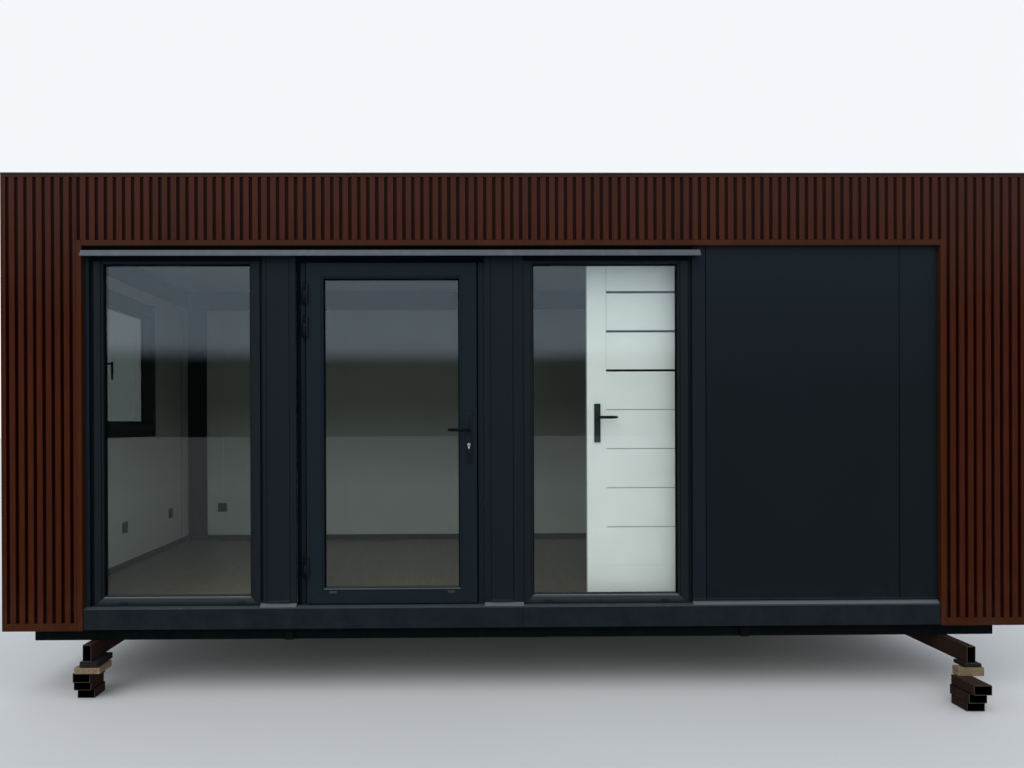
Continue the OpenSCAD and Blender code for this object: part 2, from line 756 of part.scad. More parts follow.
// Partition of the side room, its doorway and the white inner door, which stands open at rest
inner_x = partition_x - inner_gap;
inner_y = deep(front_in) + inner_jamb_w;
inner_z = floor_z + inner_lift;
inner_leaf_h = ceiling_z - over_door_h - inner_jamb_w - inner_gap - inner_z;
doorway_y1 = inner_y + inner_leaf_w + 2 * inner_gap + 2;
doorway_top = inner_z + inner_leaf_h + inner_gap;
module partition_wall() {
    color([0.88, 0.89, 0.88]) {
        span([partition_x, doorway_y1 + inner_jamb_w, floor_z],
            [partition_x + partition_t, in_back, roof_rail_z]);
        span([partition_x, doorway_y1 + inner_jamb_w, roof_rail_z],
            [partition_x + partition_t, in_back - post_proud, ceiling_z]);
    }
}
module partition_head() {
    color([0.88, 0.89, 0.88]) {
        span([partition_x, deep(front_in), doorway_top + inner_jamb_w],
            [partition_x + partition_t, doorway_y1 + inner_jamb_w, roof_rail_z]);
        span([partition_x, deep(front_in + post_proud), roof_rail_z],
            [partition_x + partition_t, doorway_y1 + inner_jamb_w, ceiling_z]);
    }
}
module inner_door_frame() {
    x_stop = partition_x + inner_leaf_t + 5;
    color([0.90, 0.91, 0.90]) difference() {
        span([partition_x, deep(front_in), floor_z],
            [partition_x + partition_t, doorway_y1 + inner_jamb_w, doorway_top + inner_jamb_w]);
        span([partition_x - 1, inner_y, floor_z - 1], [x_stop, doorway_y1, doorway_top]);
        span([x_stop - 1, inner_y + stop_w, floor_z - 1],
            [partition_x + partition_t + 1, doorway_y1 - stop_w, doorway_top - stop_w]);
    }
}

// Open leaf: its hinge edge is at the partition and it lies along the front wall
open_y = inner_y + inner_gap;
open_x1 = inner_x - inner_gap;
open_x0 = open_x1 - inner_leaf_w;
inner_lock_in = 62;
inner_lock_x = open_x0 + inner_lock_in;
inner_lever_z = inner_z + inner_lever_up;
inlay_top = 170;
inlay_depth = 3;
inner_groove_h = 6;
function inlay_z(k) = inner_z + inner_leaf_h - inlay_top - k * inlay_pitch;
module inner_door_leaf() {
    color([0.90, 0.91, 0.90]) difference() {
        span([open_x0, open_y, inner_z], [open_x1, open_y + inner_leaf_t, inner_z + inner_leaf_h]);
        for (k = [0 : 7]) for (side = [0, 1])
            span([open_x0 + inner_stile_w, side == 0 ? open_y - 1 : open_y + inner_leaf_t - inlay_depth,
                    inlay_z(k) - (k < 3 ? inlay_h : inner_groove_h) / 2],
                [open_x1 - inner_hinge_side_w, side == 0 ? open_y + inlay_depth : open_y + inner_leaf_t + 1,
                    inlay_z(k) + (k < 3 ? inlay_h : inner_groove_h) / 2]);
        translate([inner_lock_x, open_y - 1, inner_lever_z]) rotate([-90, 0, 0])
            cylinder(r = spindle_r + 1.5, h = inner_leaf_t + 2);
    }
}
module inner_door_inlays() {
    color([0.06, 0.06, 0.07]) for (k = [0 : 2]) for (y = [open_y, open_y + inner_leaf_t - inlay_depth])
        span([open_x0 + inner_stile_w, y, inlay_z(k) - inlay_h / 2],
            [open_x1 - inner_hinge_side_w, y + inlay_depth, inlay_z(k) + inlay_h / 2]);
}
inner_plate_h = 236;
inner_plate_w = 38;
inner_plate_top = 83;
module inner_door_fittings() {
    z1 = inner_lever_z + inner_plate_top;
    color([0.60, 0.61, 0.62]) inner_leaf_hinges();
    color([0.06, 0.06, 0.07]) {
        lock_plate(inner_lock_x, open_y - plate_t, open_y, z1 - inner_plate_h, z1, inner_plate_w, inner_lever_z);
        lock_plate(inner_lock_x, open_y + inner_leaf_t, open_y + inner_leaf_t + plate_t,
            z1 - inner_plate_h, z1, inner_plate_w, inner_lever_z);
    }
}
module inner_lever() {
    color([0.06, 0.06, 0.07]) lever_pair(inner_lock_x, open_y - plate_t - seat,
        open_y + inner_leaf_t + plate_t + seat, inner_lever_z, inner_lever_len);
}
inner_hinge_levels = [250, 1000, 1750];
inner_hinge_r = 4.7;
inner_hinge_h = 90;
inner_hinge_leaf = 18;
module inner_frame_hinges() {
    for (up = inner_hinge_levels) translate([inner_x, inner_y, inner_z + up]) {
        translate([0, 0, inner_hinge_h / 2]) cylinder(r = inner_hinge_r, h = inner_hinge_h / 2);
        span([0, -inner_hinge_leaf, inner_hinge_h / 2], [inner_gap, 0, inner_hinge_h]);
    }
}
module inner_leaf_hinges() {
    for (up = inner_hinge_levels) translate([inner_x, inner_y, inner_z + up]) {
        cylinder(r = inner_hinge_r, h = inner_hinge_h / 2 - 0.5);
        span([-inner_hinge_leaf, 0, 0], [0, inner_gap, inner_hinge_h / 2 - 0.5]);
    }
}

// Hinge halves that stay on the two door frames
module frame_hinges() {
    color([0.20, 0.22, 0.25]) door_frame_hinges();
    color([0.60, 0.61, 0.62]) inner_frame_hinges();
}

// Skirting and sockets of the main room
skirting_h = 46;
skirting_t = 12;
module skirting() {
    color([0.13, 0.14, 0.16]) {
        span([in_left + post_proud + skirting_t, in_back - post_proud - skirting_t, floor_z],
            [partition_x, in_back - post_proud, floor_z + skirting_h]);
        span([in_left + post_proud, deep(front_in + post_proud), floor_z],
            [in_left + post_proud + skirting_t, in_back - post_proud, floor_z + skirting_h]);
    }
}
socket_t = 11;
module sockets() {
    z = floor_z + socket_up - socket_w / 2;
    color([0.08, 0.08, 0.09]) {
        for (y = [deep(socket_first), deep(socket_second)])
            span([in_left, y - socket_w / 2, z], [in_left + socket_t, y + socket_w / 2, z + socket_w]);
        span([left_x + socket_back - socket_w / 2, in_back - socket_t, z],
            [left_x + socket_back + socket_w / 2, in_back, z + socket_w]);
    }
}

// Packing stacks: a tube on edge right across under the skids, and packers under each end of it
plate_under = 22;
plank_h = 35;
flat_n = 3;
flat_step = 30;
flat_out_left = -30;
flat_h = (support_h - tube_h - timber_h - plate_under) / flat_n;
block_z = flat_n * flat_h;
stack_x = [left_x + stack_inset + 51, right_x - stack_inset];
upper_out = [tube_out_left, tube_out];
flat_reach = [flat_out_left, flat_out];
block_depth = [160, 55];
under_h = [plank_h, plate_under];
under_w = [106, 100];
under_len = [200, 100];
module hollow_tube(x, y0, y1, z, w, h) {
    difference() {
        span([x - w / 2, y0, z], [x + w / 2, y1, z + h]);
        span([x - w / 2 + tube_wall, y0 - 1, z + tube_wall], [x + w / 2 - tube_wall, y1 + 1, z + h - tube_wall]);
    }
}
module cross_tube(i) {
    reach = body_w / 2 + upper_out[i];
    hollow_tube(stack_x[i], -reach, reach, support_h - tube_h, tube_w, tube_h);
}
module flat_tubes(i) {
    top_out = flat_reach[i] + (flat_n - 1) * flat_step;
    for (k = [0 : flat_n - 1])
        hollow_tube(stack_x[i] - 40 - (k % 2) * 8, deep(-flat_reach[i] - k * flat_step), deep(packer_len - top_out),
            k * flat_h + (k > 0 ? seat : 0), tube_h + 4, flat_h - (k > 0 ? seat : 0));
}
module stack_timber(i) {
    x = stack_x[i];
    y0 = deep(-upper_out[i]);
    low = support_h - tube_h - under_h[i];
    span([x - timber_w / 2, y0, block_z + seat], [x + timber_w / 2, y0 + block_depth[i], low - seat]);
    span([x + 10 - under_w[i] / 2, y0, low], [x + 10 + under_w[i] / 2, y0 + under_len[i], support_h - tube_h - seat]);
}
module support_tubes() {
    color([0.35, 0.22, 0.14]) for (i = [0, 1]) {
        cross_tube(i);
        flat_tubes(i);
        mirror([0, 1, 0]) flat_tubes(i);
    }
}
module support_timbers() {
    color([0.60, 0.53, 0.42]) for (i = [0, 1]) {
        stack_timber(i);
        mirror([0, 1, 0]) stack_timber(i);
    }
}

skids();
floor_rail();
front_sill();
insulated_floor();
floor_covering();
corner_posts();
roof_rail();
ceiling();
roof_sheet();
roof_ribs();
roof_edge_cap();
end_wall_left();
end_wall_right();
back_wall();
front_wall();
front_wall_head();
cladding_battens();
cladding_columns();
cladding_fascia();
cladding_trims();
recess_trim();
drip_strip();
post_covers();
blank_panels();
head_cover();
base_flashing();
window_frames();
window_glass();
door_frame();
door_leaf();
door_glass();
door_fittings();
front_lever();
end_window_frame();
end_window_glass();
frame_hinges();
partition_wall();
partition_head();
inner_door_frame();
inner_door_leaf();
inner_door_inlays();
inner_door_fittings();
inner_lever();
skirting();
sockets();
support_tubes();
support_timbers();
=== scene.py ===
import math

import bpy
from mathutils import Matrix, Vector


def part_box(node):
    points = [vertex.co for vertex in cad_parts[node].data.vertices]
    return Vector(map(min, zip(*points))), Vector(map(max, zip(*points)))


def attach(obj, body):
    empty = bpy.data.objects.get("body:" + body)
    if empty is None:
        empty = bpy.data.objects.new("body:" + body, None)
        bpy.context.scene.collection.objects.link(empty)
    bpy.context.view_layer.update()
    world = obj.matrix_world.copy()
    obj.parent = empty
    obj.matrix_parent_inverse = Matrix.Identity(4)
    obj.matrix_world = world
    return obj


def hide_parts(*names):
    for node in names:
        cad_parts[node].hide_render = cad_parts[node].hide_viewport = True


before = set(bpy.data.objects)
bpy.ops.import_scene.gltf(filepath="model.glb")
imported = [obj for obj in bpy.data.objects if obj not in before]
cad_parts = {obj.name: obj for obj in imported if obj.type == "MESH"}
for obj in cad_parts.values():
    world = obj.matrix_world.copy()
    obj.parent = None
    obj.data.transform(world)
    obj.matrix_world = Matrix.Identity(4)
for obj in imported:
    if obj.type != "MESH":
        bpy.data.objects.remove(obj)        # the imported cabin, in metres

ops = bpy.ops
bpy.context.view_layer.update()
front = -1.5             # Y of the cladding face


def deep(depth):         # Y of a place that many metres behind the cladding face
    return front + depth


# small modelling helpers, all on Blender's own operators

def letGo():
    if bpy.context.mode != "OBJECT":
        ops.object.mode_set(mode="OBJECT")
    for other in bpy.context.selected_objects:
        other.select_set(False)


def hold(piece):
    letGo()
    piece.select_set(True)
    bpy.context.view_layer.objects.active = piece


def block(name, low, high):
    letGo()
    low, high = Vector(low), Vector(high)
    ops.mesh.primitive_cube_add(size=1, location=(low + high) / 2)
    piece = bpy.context.active_object
    piece.name = name
    piece.scale = high - low
    ops.object.transform_apply(location=True, rotation=True, scale=True)
    return piece


def rod(name, start, end, radius, sides=24):
    letGo()
    start, end = Vector(start), Vector(end)
    ops.mesh.primitive_cylinder_add(vertices=sides, radius=radius, depth=(end - start).length,
                                    location=(start + end) / 2)
    piece = bpy.context.active_object
    piece.name = name
    piece.rotation_euler = (end - start).to_track_quat("Z", "Y").to_euler()
    ops.object.transform_apply(location=True, rotation=True, scale=True)
    return piece


def pick(piece, kind, rule):      # leaves the piece in edit mode with the chosen parts selected
    hold(piece)
    ops.object.mode_set(mode="EDIT")
    ops.mesh.select_mode(type=kind)
    ops.mesh.select_all(action="DESELECT")
    ops.object.mode_set(mode="OBJECT")
    mesh = piece.data
    if kind == "FACE":
        for face in mesh.polygons:
            face.select = bool(rule(face.center, face.normal))
    elif kind == "EDGE":
        for edge in mesh.edges:
            a, b = (mesh.vertices[i].co for i in edge.vertices)
            edge.select = bool(rule(a, b))
    else:
        for point in mesh.vertices:
            point.select = bool(rule(point.co))
    ops.object.mode_set(mode="EDIT")


def done(piece):
    ops.object.mode_set(mode="OBJECT")
    return piece


def stepIn(piece, axis, out, *moves):     # insets an end face and shifts it, once for each pair of sizes
    pick(piece, "FACE", lambda c, n: n[axis] * out > 0.9)
    for thickness, shift in moves:
        ops.mesh.inset(thickness=thickness)
        ops.transform.translate(value=[shift * out if i == axis else 0 for i in range(3)])
    return done(piece)


def roundEdges(piece, width, segments=2, angle=30):
    bevel = piece.modifiers.new("roundEdges", "BEVEL")
    bevel.width = width
    bevel.segments = segments
    bevel.limit_method = "ANGLE"
    bevel.angle_limit = math.radians(angle)
    hold(piece)
    ops.object.modifier_apply(modifier=bevel.name)
    return piece


def smooth(piece, angle=32):
    hold(piece)
    ops.object.shade_smooth_by_angle(angle=math.radians(angle))
    return piece


def joinUp(parts, name):
    letGo()
    for other in parts:
        other.select_set(True)
    bpy.context.view_layer.objects.active = parts[0]
    if len(parts) > 1:
        ops.object.join()
    parts[0].name = name
    return parts[0]


facing = {"up": Matrix.Identity(4), "front": Matrix.Rotation(math.pi / 2, 4, "X"),
          "back": Matrix.Rotation(-math.pi / 2, 4, "X"), "left": Matrix.Rotation(-math.pi / 2, 4, "Y"),
          "right": Matrix.Rotation(math.pi / 2, 4, "Y"), "down": Matrix.Rotation(math.pi, 4, "X")}


def stamp(model, name, places):   # copies of one model, which was made at the origin looking up
    made = []
    for place, way in places:
        copy = bpy.data.objects.new(name, model.data.copy())
        copy.data.transform(Matrix.Translation(place) @ facing[way])
        bpy.context.collection.objects.link(copy)
        made.append(copy)
    bpy.data.objects.remove(model)
    return joinUp(made, name)


def ring(name, low, high, bar, axis=1):   # a frame round a hole along one axis
    piece = block(name, low, high)
    pick(piece, "FACE", lambda c, n: abs(n[axis]) > 0.9)
    ops.mesh.inset(thickness=bar, use_even_offset=True, use_individual=True)
    ops.mesh.bridge_edge_loops()
    return done(piece)


def cleanCopy(node, name):        # a merged copy of a CAD node, with its triangles made faces again
    piece = bpy.data.objects.new(name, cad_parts[node].data.copy())
    bpy.context.collection.objects.link(piece)
    piece.data.materials.clear()
    hold(piece)
    ops.object.mode_set(mode="EDIT")
    ops.mesh.select_all(action="SELECT")
    ops.mesh.remove_doubles(threshold=0.00002)
    ops.mesh.customdata_custom_splitnormals_clear()
    ops.mesh.dissolve_limited(angle_limit=math.radians(0.5))
    ops.object.mode_set(mode="OBJECT")
    ops.object.shade_flat()
    return piece


def score(piece, point, across, width, depth, inward, near=None):   # a narrow groove along a plane
    point, across, inward = Vector(point), Vector(across).normalized(), Vector(inward).normalized()
    for side in (-1, 0, 1):
        hold(piece)
        ops.object.mode_set(mode="EDIT")
        ops.mesh.select_mode(type="FACE")
        ops.mesh.select_all(action="SELECT")
        ops.mesh.bisect(plane_co=point + across * side * width / 2, plane_no=across)
        ops.object.mode_set(mode="OBJECT")
    pick(piece, "VERT", lambda p: abs((p - point).dot(across)) < 0.00001
         and abs((p - point).dot(inward)) < 0.0002 and (near is None or near(p)))
    ops.transform.translate(value=inward * depth)
    return done(piece)


def cutFace(piece, point, across):    # an edge along a plane, for a change of finish
    hold(piece)
    ops.object.mode_set(mode="EDIT")
    ops.mesh.select_all(action="SELECT")
    ops.mesh.bisect(plane_co=point, plane_no=across)
    return done(piece)


def wear(piece, body, slotName, finish, *nodes):
    piece.data.materials.clear()
    piece.data.materials.append(finish)
    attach(piece, body)
    if nodes:
        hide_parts(*nodes)
    return piece


def paint(piece, finish, rule):   # gives the chosen faces a second finish
    piece.data.materials.append(finish)
    index = len(piece.data.materials) - 1
    for face in piece.data.polygons:
        if rule(face.center, face.normal):
            face.material_index = index
    return piece


# camera

viewPoint = {"place": (-0.3717, -6.1336, 1.5946), "yaw": 0.0126, "pitch": -0.0015, "roll": -0.0035,
             "lens": 27.88, "shiftX": 0.0468, "shiftY": 0.0403}


def makeCamera():
    yaw, pitch, roll = viewPoint["yaw"], viewPoint["pitch"], viewPoint["roll"]
    ahead = Vector((math.sin(yaw), math.cos(yaw), 0))
    right = Vector((math.cos(yaw), -math.sin(yaw), 0))
    up = Vector((0, 0, 1))
    ahead, up = (ahead * math.cos(pitch) + up * math.sin(pitch),
                 up * math.cos(pitch) - ahead * math.sin(pitch))
    right, up = (right * math.cos(roll) + up * math.sin(roll),
                 up * math.cos(roll) - right * math.sin(roll))
    turn = Matrix((right, up, -ahead)).transposed().to_4x4()
    lens = bpy.data.cameras.new("camera")
    lens.lens = viewPoint["lens"]
    lens.shift_x, lens.shift_y = viewPoint["shiftX"], viewPoint["shiftY"]
    lens.clip_end = 200
    camera = bpy.data.objects.new("camera", lens)
    camera.matrix_world = Matrix.Translation(viewPoint["place"]) @ turn
    bpy.context.collection.objects.link(camera)
    bpy.context.scene.camera = camera


makeCamera()
print("camera set")


# shader helpers

def tone(red, green, blue):       # 0-255 screen values to the linear colour that a shader takes
    line = [c / 255 for c in (red, green, blue)]
    return tuple(c / 12.92 if c < 0.04045 else ((c + 0.055) / 1.055) ** 2.4 for c in line) + (1,)


def step(tree, kind, feeds=None, **settings):
    made = tree.nodes.new("ShaderNode" + kind)
    for key, value in settings.items():
        setattr(made, key, value)
    for key, value in (feeds or {}).items():
        if isinstance(value, bpy.types.NodeSocket):
            tree.links.new(value, made.inputs[key])
        else:
            made.inputs[key].default_value = value
    return made


def reckon(tree, operation, *values):
    return step(tree, "Math", dict(enumerate(values)), operation=operation).outputs[0]


def blendTone(tree, factor, first, second, kind="MIX"):
    made = step(tree, "Mix", {0: factor, 6: first, 7: second}, data_type="RGBA", blend_type=kind)
    return made.outputs[2]


def ramp(tree, value, start, end, top=1, **settings):    # 0 at the start, top at the end
    return step(tree, "MapRange", {"Value": value, "From Min": start, "From Max": end, "To Max": top},
                **settings).outputs[0]


def spanTo(tree, value, low, high):   # 0-1 to a range
    return step(tree, "MapRange", {"Value": value, "To Min": low, "To Max": high}).outputs[0]


def noise(tree, spot, scale, detail, roughness=0.5):
    return step(tree, "TexNoise", {"Vector": spot, "Scale": scale, "Detail": detail,
                                   "Roughness": roughness}).outputs[0]


def newGroup(name, amounts, gives):
    tree = bpy.data.node_groups.new(name, "ShaderNodeTree")
    tree.interface.new_socket("Vector", in_out="INPUT", socket_type="NodeSocketVector")
    for label, value in amounts.items():
        tree.interface.new_socket(label, in_out="INPUT", socket_type="NodeSocketFloat").default_value = value
    for label in gives:
        tree.interface.new_socket(label, in_out="OUTPUT", socket_type="NodeSocketFloat")
    return tree, tree.nodes.new("NodeGroupInput").outputs, tree.nodes.new("NodeGroupOutput").inputs


def makeFineGrain():              # brushed or sawn lines that run up the piece
    tree, takes, gives = newGroup("fineGrain", {"Across": 400, "Along": 6}, ["Height", "Mask"])
    scale = step(tree, "CombineXYZ", {0: takes["Across"], 1: takes["Across"], 2: takes["Along"]})
    spread = step(tree, "VectorMath", {0: takes["Vector"], 1: scale.outputs[0]}, operation="MULTIPLY")
    lines = noise(tree, spread.outputs[0], 1, 3, 0.6)
    tree.links.new(lines, gives["Height"])
    tree.links.new(ramp(tree, lines, 0.42, 0.62), gives["Mask"])
    return tree


def makeSpeck():                  # the fine skin of powder coat or plaster
    tree, takes, gives = newGroup("fineSpeck", {"Scale": 900}, ["Height", "Mask"])
    fine = noise(tree, takes["Vector"], takes["Scale"], 2)
    tree.links.new(fine, gives["Height"])
    tree.links.new(ramp(tree, fine, 0.35, 0.65), gives["Mask"])
    return tree


def makeDrift():                  # slow, soft change of tone over metres
    tree, takes, gives = newGroup("toneDrift", {"Scale": 1.2, "Amount": 0.1}, ["Factor"])
    slow = reckon(tree, "SUBTRACT", noise(tree, takes["Vector"], takes["Scale"], 4), 0.5)
    wide = reckon(tree, "MULTIPLY", slow, takes["Amount"])
    tree.links.new(reckon(tree, "MULTIPLY_ADD", wide, 4.0, 1.0), gives["Factor"])
    return tree


def makeDust():                   # splashes near the foot, and dust on what looks up
    tree, takes, gives = newGroup("settledDust", {"Foot": 0.4, "Reach": 0.6, "Amount": 0.3}, ["Mask"])
    place = step(tree, "SeparateXYZ", {0: takes["Vector"]})
    above = reckon(tree, "SUBTRACT", place.outputs["Z"], takes["Foot"])
    low = ramp(tree, reckon(tree, "DIVIDE", above, takes["Reach"]), 1, 0, interpolation_type="SMOOTHSTEP")
    blots = ramp(tree, noise(tree, takes["Vector"], 9, 8, 0.7), 0.4, 0.75)
    splash = reckon(tree, "MULTIPLY", low, blots)
    face = step(tree, "SeparateXYZ", {0: tree.nodes.new("ShaderNodeNewGeometry").outputs["Normal"]})
    both = reckon(tree, "ADD", splash, ramp(tree, face.outputs["Z"], 0.5, 1, 0.6))
    tree.links.new(reckon(tree, "MULTIPLY", both, takes["Amount"]), gives["Mask"])
    return tree


def makeStreaks():                # faint runs that rain leaves on a coated wall
    tree, takes, gives = newGroup("rainRuns", {"Amount": 0.2}, ["Mask"])
    scale = step(tree, "VectorMath", {0: takes["Vector"], 1: (26, 26, 0.7)}, operation="MULTIPLY")
    runs = ramp(tree, noise(tree, scale.outputs[0], 1, 5), 0.5, 0.8)
    tree.links.new(reckon(tree, "MULTIPLY", runs, takes["Amount"]), gives["Mask"])
    return tree


def makeEdgeWear():               # rubbed edges, from how sharply the surface turns
    tree, takes, gives = newGroup("edgeWear", {"Amount": 0.5}, ["Mask"])
    turn = tree.nodes.new("ShaderNodeNewGeometry").outputs["Pointiness"]
    patch = ramp(tree, noise(tree, takes["Vector"], 38, 6), 0.42, 0.6)
    both = reckon(tree, "MULTIPLY", ramp(tree, turn, 0.51, 0.6), patch)
    tree.links.new(reckon(tree, "MULTIPLY", both, takes["Amount"]), gives["Mask"])
    return tree


def makeRust():                   # blooms of rust with pits, in two shades
    tree, takes, gives = newGroup("rustBloom", {"Scale": 14, "Spread": 0.5}, ["Mask", "Height", "Shade"])
    spot = takes["Vector"]
    edge = reckon(tree, "MULTIPLY", reckon(tree, "SUBTRACT", 1.0, takes["Spread"]), 0.8)
    over = reckon(tree, "SUBTRACT", noise(tree, spot, takes["Scale"], 10, 0.65), edge)
    mask = ramp(tree, over, 0, 0.08)
    tree.links.new(mask, gives["Mask"])
    tree.links.new(reckon(tree, "MULTIPLY", noise(tree, spot, 260, 4), mask), gives["Height"])
    tree.links.new(noise(tree, spot, 45, 5), gives["Shade"])
    return tree


fineGrain, fineSpeck, toneDrift = makeFineGrain(), makeSpeck(), makeDrift()
settledDust, rainRuns, edgeWear, rustBloom = makeDust(), makeStreaks(), makeEdgeWear(), makeRust()


def newFinish(name, roughness=None, specular=0.5, metal=0.0):
    made = bpy.data.materials.new(name)
    made.use_nodes = True
    tree = made.node_tree
    skin = tree.nodes["Principled BSDF"]
    skin.inputs["Specular IOR Level"].default_value = specular
    skin.inputs["Metallic"].default_value = metal
    if roughness is not None:
        skin.inputs["Roughness"].default_value = roughness
    return made, tree, skin, tree.nodes.new("ShaderNodeTexCoord").outputs["Object"]


def use(tree, group, spot, **values):
    made = tree.nodes.new("ShaderNodeGroup")
    made.node_tree = group
    tree.links.new(spot, made.inputs["Vector"])
    for key, value in values.items():
        made.inputs[key].default_value = value
    return made.outputs


def bumps(tree, skin, height, strength, distance):
    made = step(tree, "Bump", {"Height": height, "Strength": strength, "Distance": distance})
    tree.links.new(made.outputs[0], skin.inputs["Normal"])


def surface(tree, skin, colour, gloss, low, high):      # the colour, and a roughness between two values
    tree.links.new(colour, skin.inputs["Base Color"])
    tree.links.new(spanTo(tree, gloss, low, high), skin.inputs["Roughness"])


# finishes

boards = {"start": -2.9835, "wide": 0.2116, "faceDepth": 0.003, "grooveDepth": 0.012}
plankWide = 0.19         # of the floor covering


def slatFinish(name, face, vein, paintedGlare=0.0, shadedGrooves=False):
    made, tree, skin, spot = newFinish(name, specular=0.07)
    place = step(tree, "SeparateXYZ", {0: spot})
    along = reckon(tree, "SUBTRACT", place.outputs["X"], boards["start"])
    board = reckon(tree, "FLOOR", reckon(tree, "DIVIDE", along, boards["wide"]))     # each has its own tone
    lucky = step(tree, "TexWhiteNoise", {"W": board}, noise_dimensions="1D")
    grain = use(tree, fineGrain, spot, Across=330, Along=5)
    drift = use(tree, toneDrift, spot, Scale=1.6, Amount=0.09)
    colour = blendTone(tree, grain["Mask"], vein, face)
    shade = reckon(tree, "MULTIPLY", spanTo(tree, lucky.outputs[0], 0.9, 1.1), drift["Factor"])
    colour = blendTone(tree, 1.0, colour, shade, "MULTIPLY")
    if shadedGrooves:   # painted shade: the grooves between the slats darken to dark red and lose gloss
        depth = ramp(tree, place.outputs["Y"], deep(boards["faceDepth"]), deep(boards["grooveDepth"]))
        colour = blendTone(tree, depth, colour, tone(26, 3, 1))
        tree.links.new(spanTo(tree, depth, 0.07, 0.01), skin.inputs["Specular IOR Level"])
    # painted glare: the boards turn a little paler and greyer from 2.2 to 2.9 m
    colour = blendTone(tree, ramp(tree, place.outputs["Z"], 2.2, 2.9, paintedGlare), colour, tone(84, 72, 70))
    dust = use(tree, settledDust, spot, Foot=0.4, Reach=0.4, Amount=0.1)
    colour = blendTone(tree, dust["Mask"], colour, tone(96, 84, 76))
    surface(tree, skin, colour, grain["Height"], 0.5, 0.75)
    bumps(tree, skin, grain["Height"], 0.35, 0.0006)
    return made


slatBrown = slatFinish("slatBrown", tone(69, 28, 9), tone(55, 20, 5), 0.13, shadedGrooves=True)
trimBrown = slatFinish("trimBrown", tone(67, 30, 9), tone(55, 24, 6), 0.13)


def coatFinish(name, colour, roughness, specular=0.07, dusty=0.0, runs=0.0, wearTone=None, rubbed=0.0,
               foot=0.4, speckle=700, drift=0.05):
    made, tree, skin, spot = newFinish(name, specular=specular)
    change = use(tree, toneDrift, spot, Scale=1.1, Amount=drift)
    speck = use(tree, fineSpeck, spot, Scale=speckle)
    shown = blendTone(tree, 1.0, colour, change["Factor"], "MULTIPLY")
    streak = use(tree, rainRuns, spot, Amount=runs)
    pale = tuple(min(1.0, c * 2.2 + 0.02) for c in colour[:3]) + (1,)
    shown = blendTone(tree, streak["Mask"], shown, pale)
    dust = use(tree, settledDust, spot, Foot=foot, Reach=0.35, Amount=dusty)
    shown = blendTone(tree, dust["Mask"], shown, tone(108, 104, 98))
    if wearTone:
        bare = use(tree, edgeWear, spot, Amount=rubbed)
        shown = blendTone(tree, bare["Mask"], shown, wearTone)
    surface(tree, skin, shown, speck["Mask"], roughness - 0.05, roughness + 0.08)
    bumps(tree, skin, speck["Height"], 0.12, 0.0004)
    return made


def gradeUp(finish, low, high, toneAbove):    # a slow change to another tone between two heights
    tree = finish.node_tree
    skin = tree.nodes["Principled BSDF"]
    spot = step(tree, "SeparateXYZ", {0: tree.nodes.new("ShaderNodeTexCoord").outputs["Object"]})
    share = ramp(tree, spot.outputs["Z"], low, high)
    colour = blendTone(tree, share, skin.inputs["Base Color"].links[0].from_socket, toneAbove)
    tree.links.new(colour, skin.inputs["Base Color"])


coverGrey = coatFinish("coverGrey", tone(21, 28, 34), 0.42, dusty=0.06, runs=0.03)
blankGrey = coatFinish("blankGrey", tone(17, 23, 27), 0.4, dusty=0.06, runs=0.03, drift=0.08)
# painted reflection: the blank panels turn lighter towards the top, from 1.8 to 2.5 m
gradeUp(blankGrey, 1.8, 2.5, tone(22, 30, 35))
frameGrey = coatFinish("frameGrey", tone(23, 32, 39), 0.36, dusty=0.04, runs=0.02, speckle=1100)
windowGrey = coatFinish("windowGrey", tone(25, 30, 34), 0.36, dusty=0.04, runs=0.02, speckle=1100)
# painted highlight: the foot bar of the window frames turns lighter towards its top, from 0.54 to 0.58 m
footGrey = coatFinish("footGrey", tone(25, 30, 34), 0.36, dusty=0.04, runs=0.02, speckle=1100)
gradeUp(footGrey, 0.54, 0.58, tone(58, 64, 67))
shadeGrey = coatFinish("shadeGrey", tone(8, 15, 22), 0.6, specular=0.0)
# painted light: lit tones for tops at the sill, the gasket feet, the door caps, the flashing and the beads
sillGrey = coatFinish("sillGrey", tone(50, 56, 60), 0.42, specular=0.15, dusty=0.08)
ledgeGrey = coatFinish("ledgeGrey", tone(84, 90, 96), 0.4, specular=0.2, dusty=0.1)
stripMetal = coatFinish("stripMetal", tone(78, 83, 89), 0.4, specular=0.2, dusty=0.08, runs=0.2)
beadGrey = coatFinish("beadGrey", tone(120, 124, 122), 0.35, specular=0.2, dusty=0.05)
beadFoot = coatFinish("beadFoot", tone(68, 73, 74), 0.4, specular=0.15)
steelGrey = coatFinish("steelGrey", tone(20, 26, 32), 0.48, specular=0.12, dusty=0.06, runs=0.03,
                       wearTone=tone(58, 50, 44), rubbed=0.2)
innerSteel = coatFinish("innerSteel", tone(4, 10, 12), 0.55, specular=0.03)
blackSteel = coatFinish("blackSteel", tone(5, 11, 13), 0.55, specular=0.03, dusty=0.02, runs=0.03,
                        wearTone=tone(46, 36, 30), rubbed=0.1, foot=0.3)
panelGrey = coatFinish("panelGrey", tone(30, 35, 41), 0.45, specular=0.12, dusty=0.15, runs=0.14)
capGrey = coatFinish("capGrey", tone(52, 58, 58), 0.45, specular=0.1, dusty=0.3, runs=0.03)
roofGrey = coatFinish("roofGrey", tone(104, 109, 113), 0.4, specular=0.3, dusty=0.4)
floorCore = coatFinish("floorCore", tone(150, 142, 130), 0.7, dusty=0.2)
whiteWall = coatFinish("whiteWall", tone(224, 228, 221), 0.45, specular=0.3, drift=0.02)
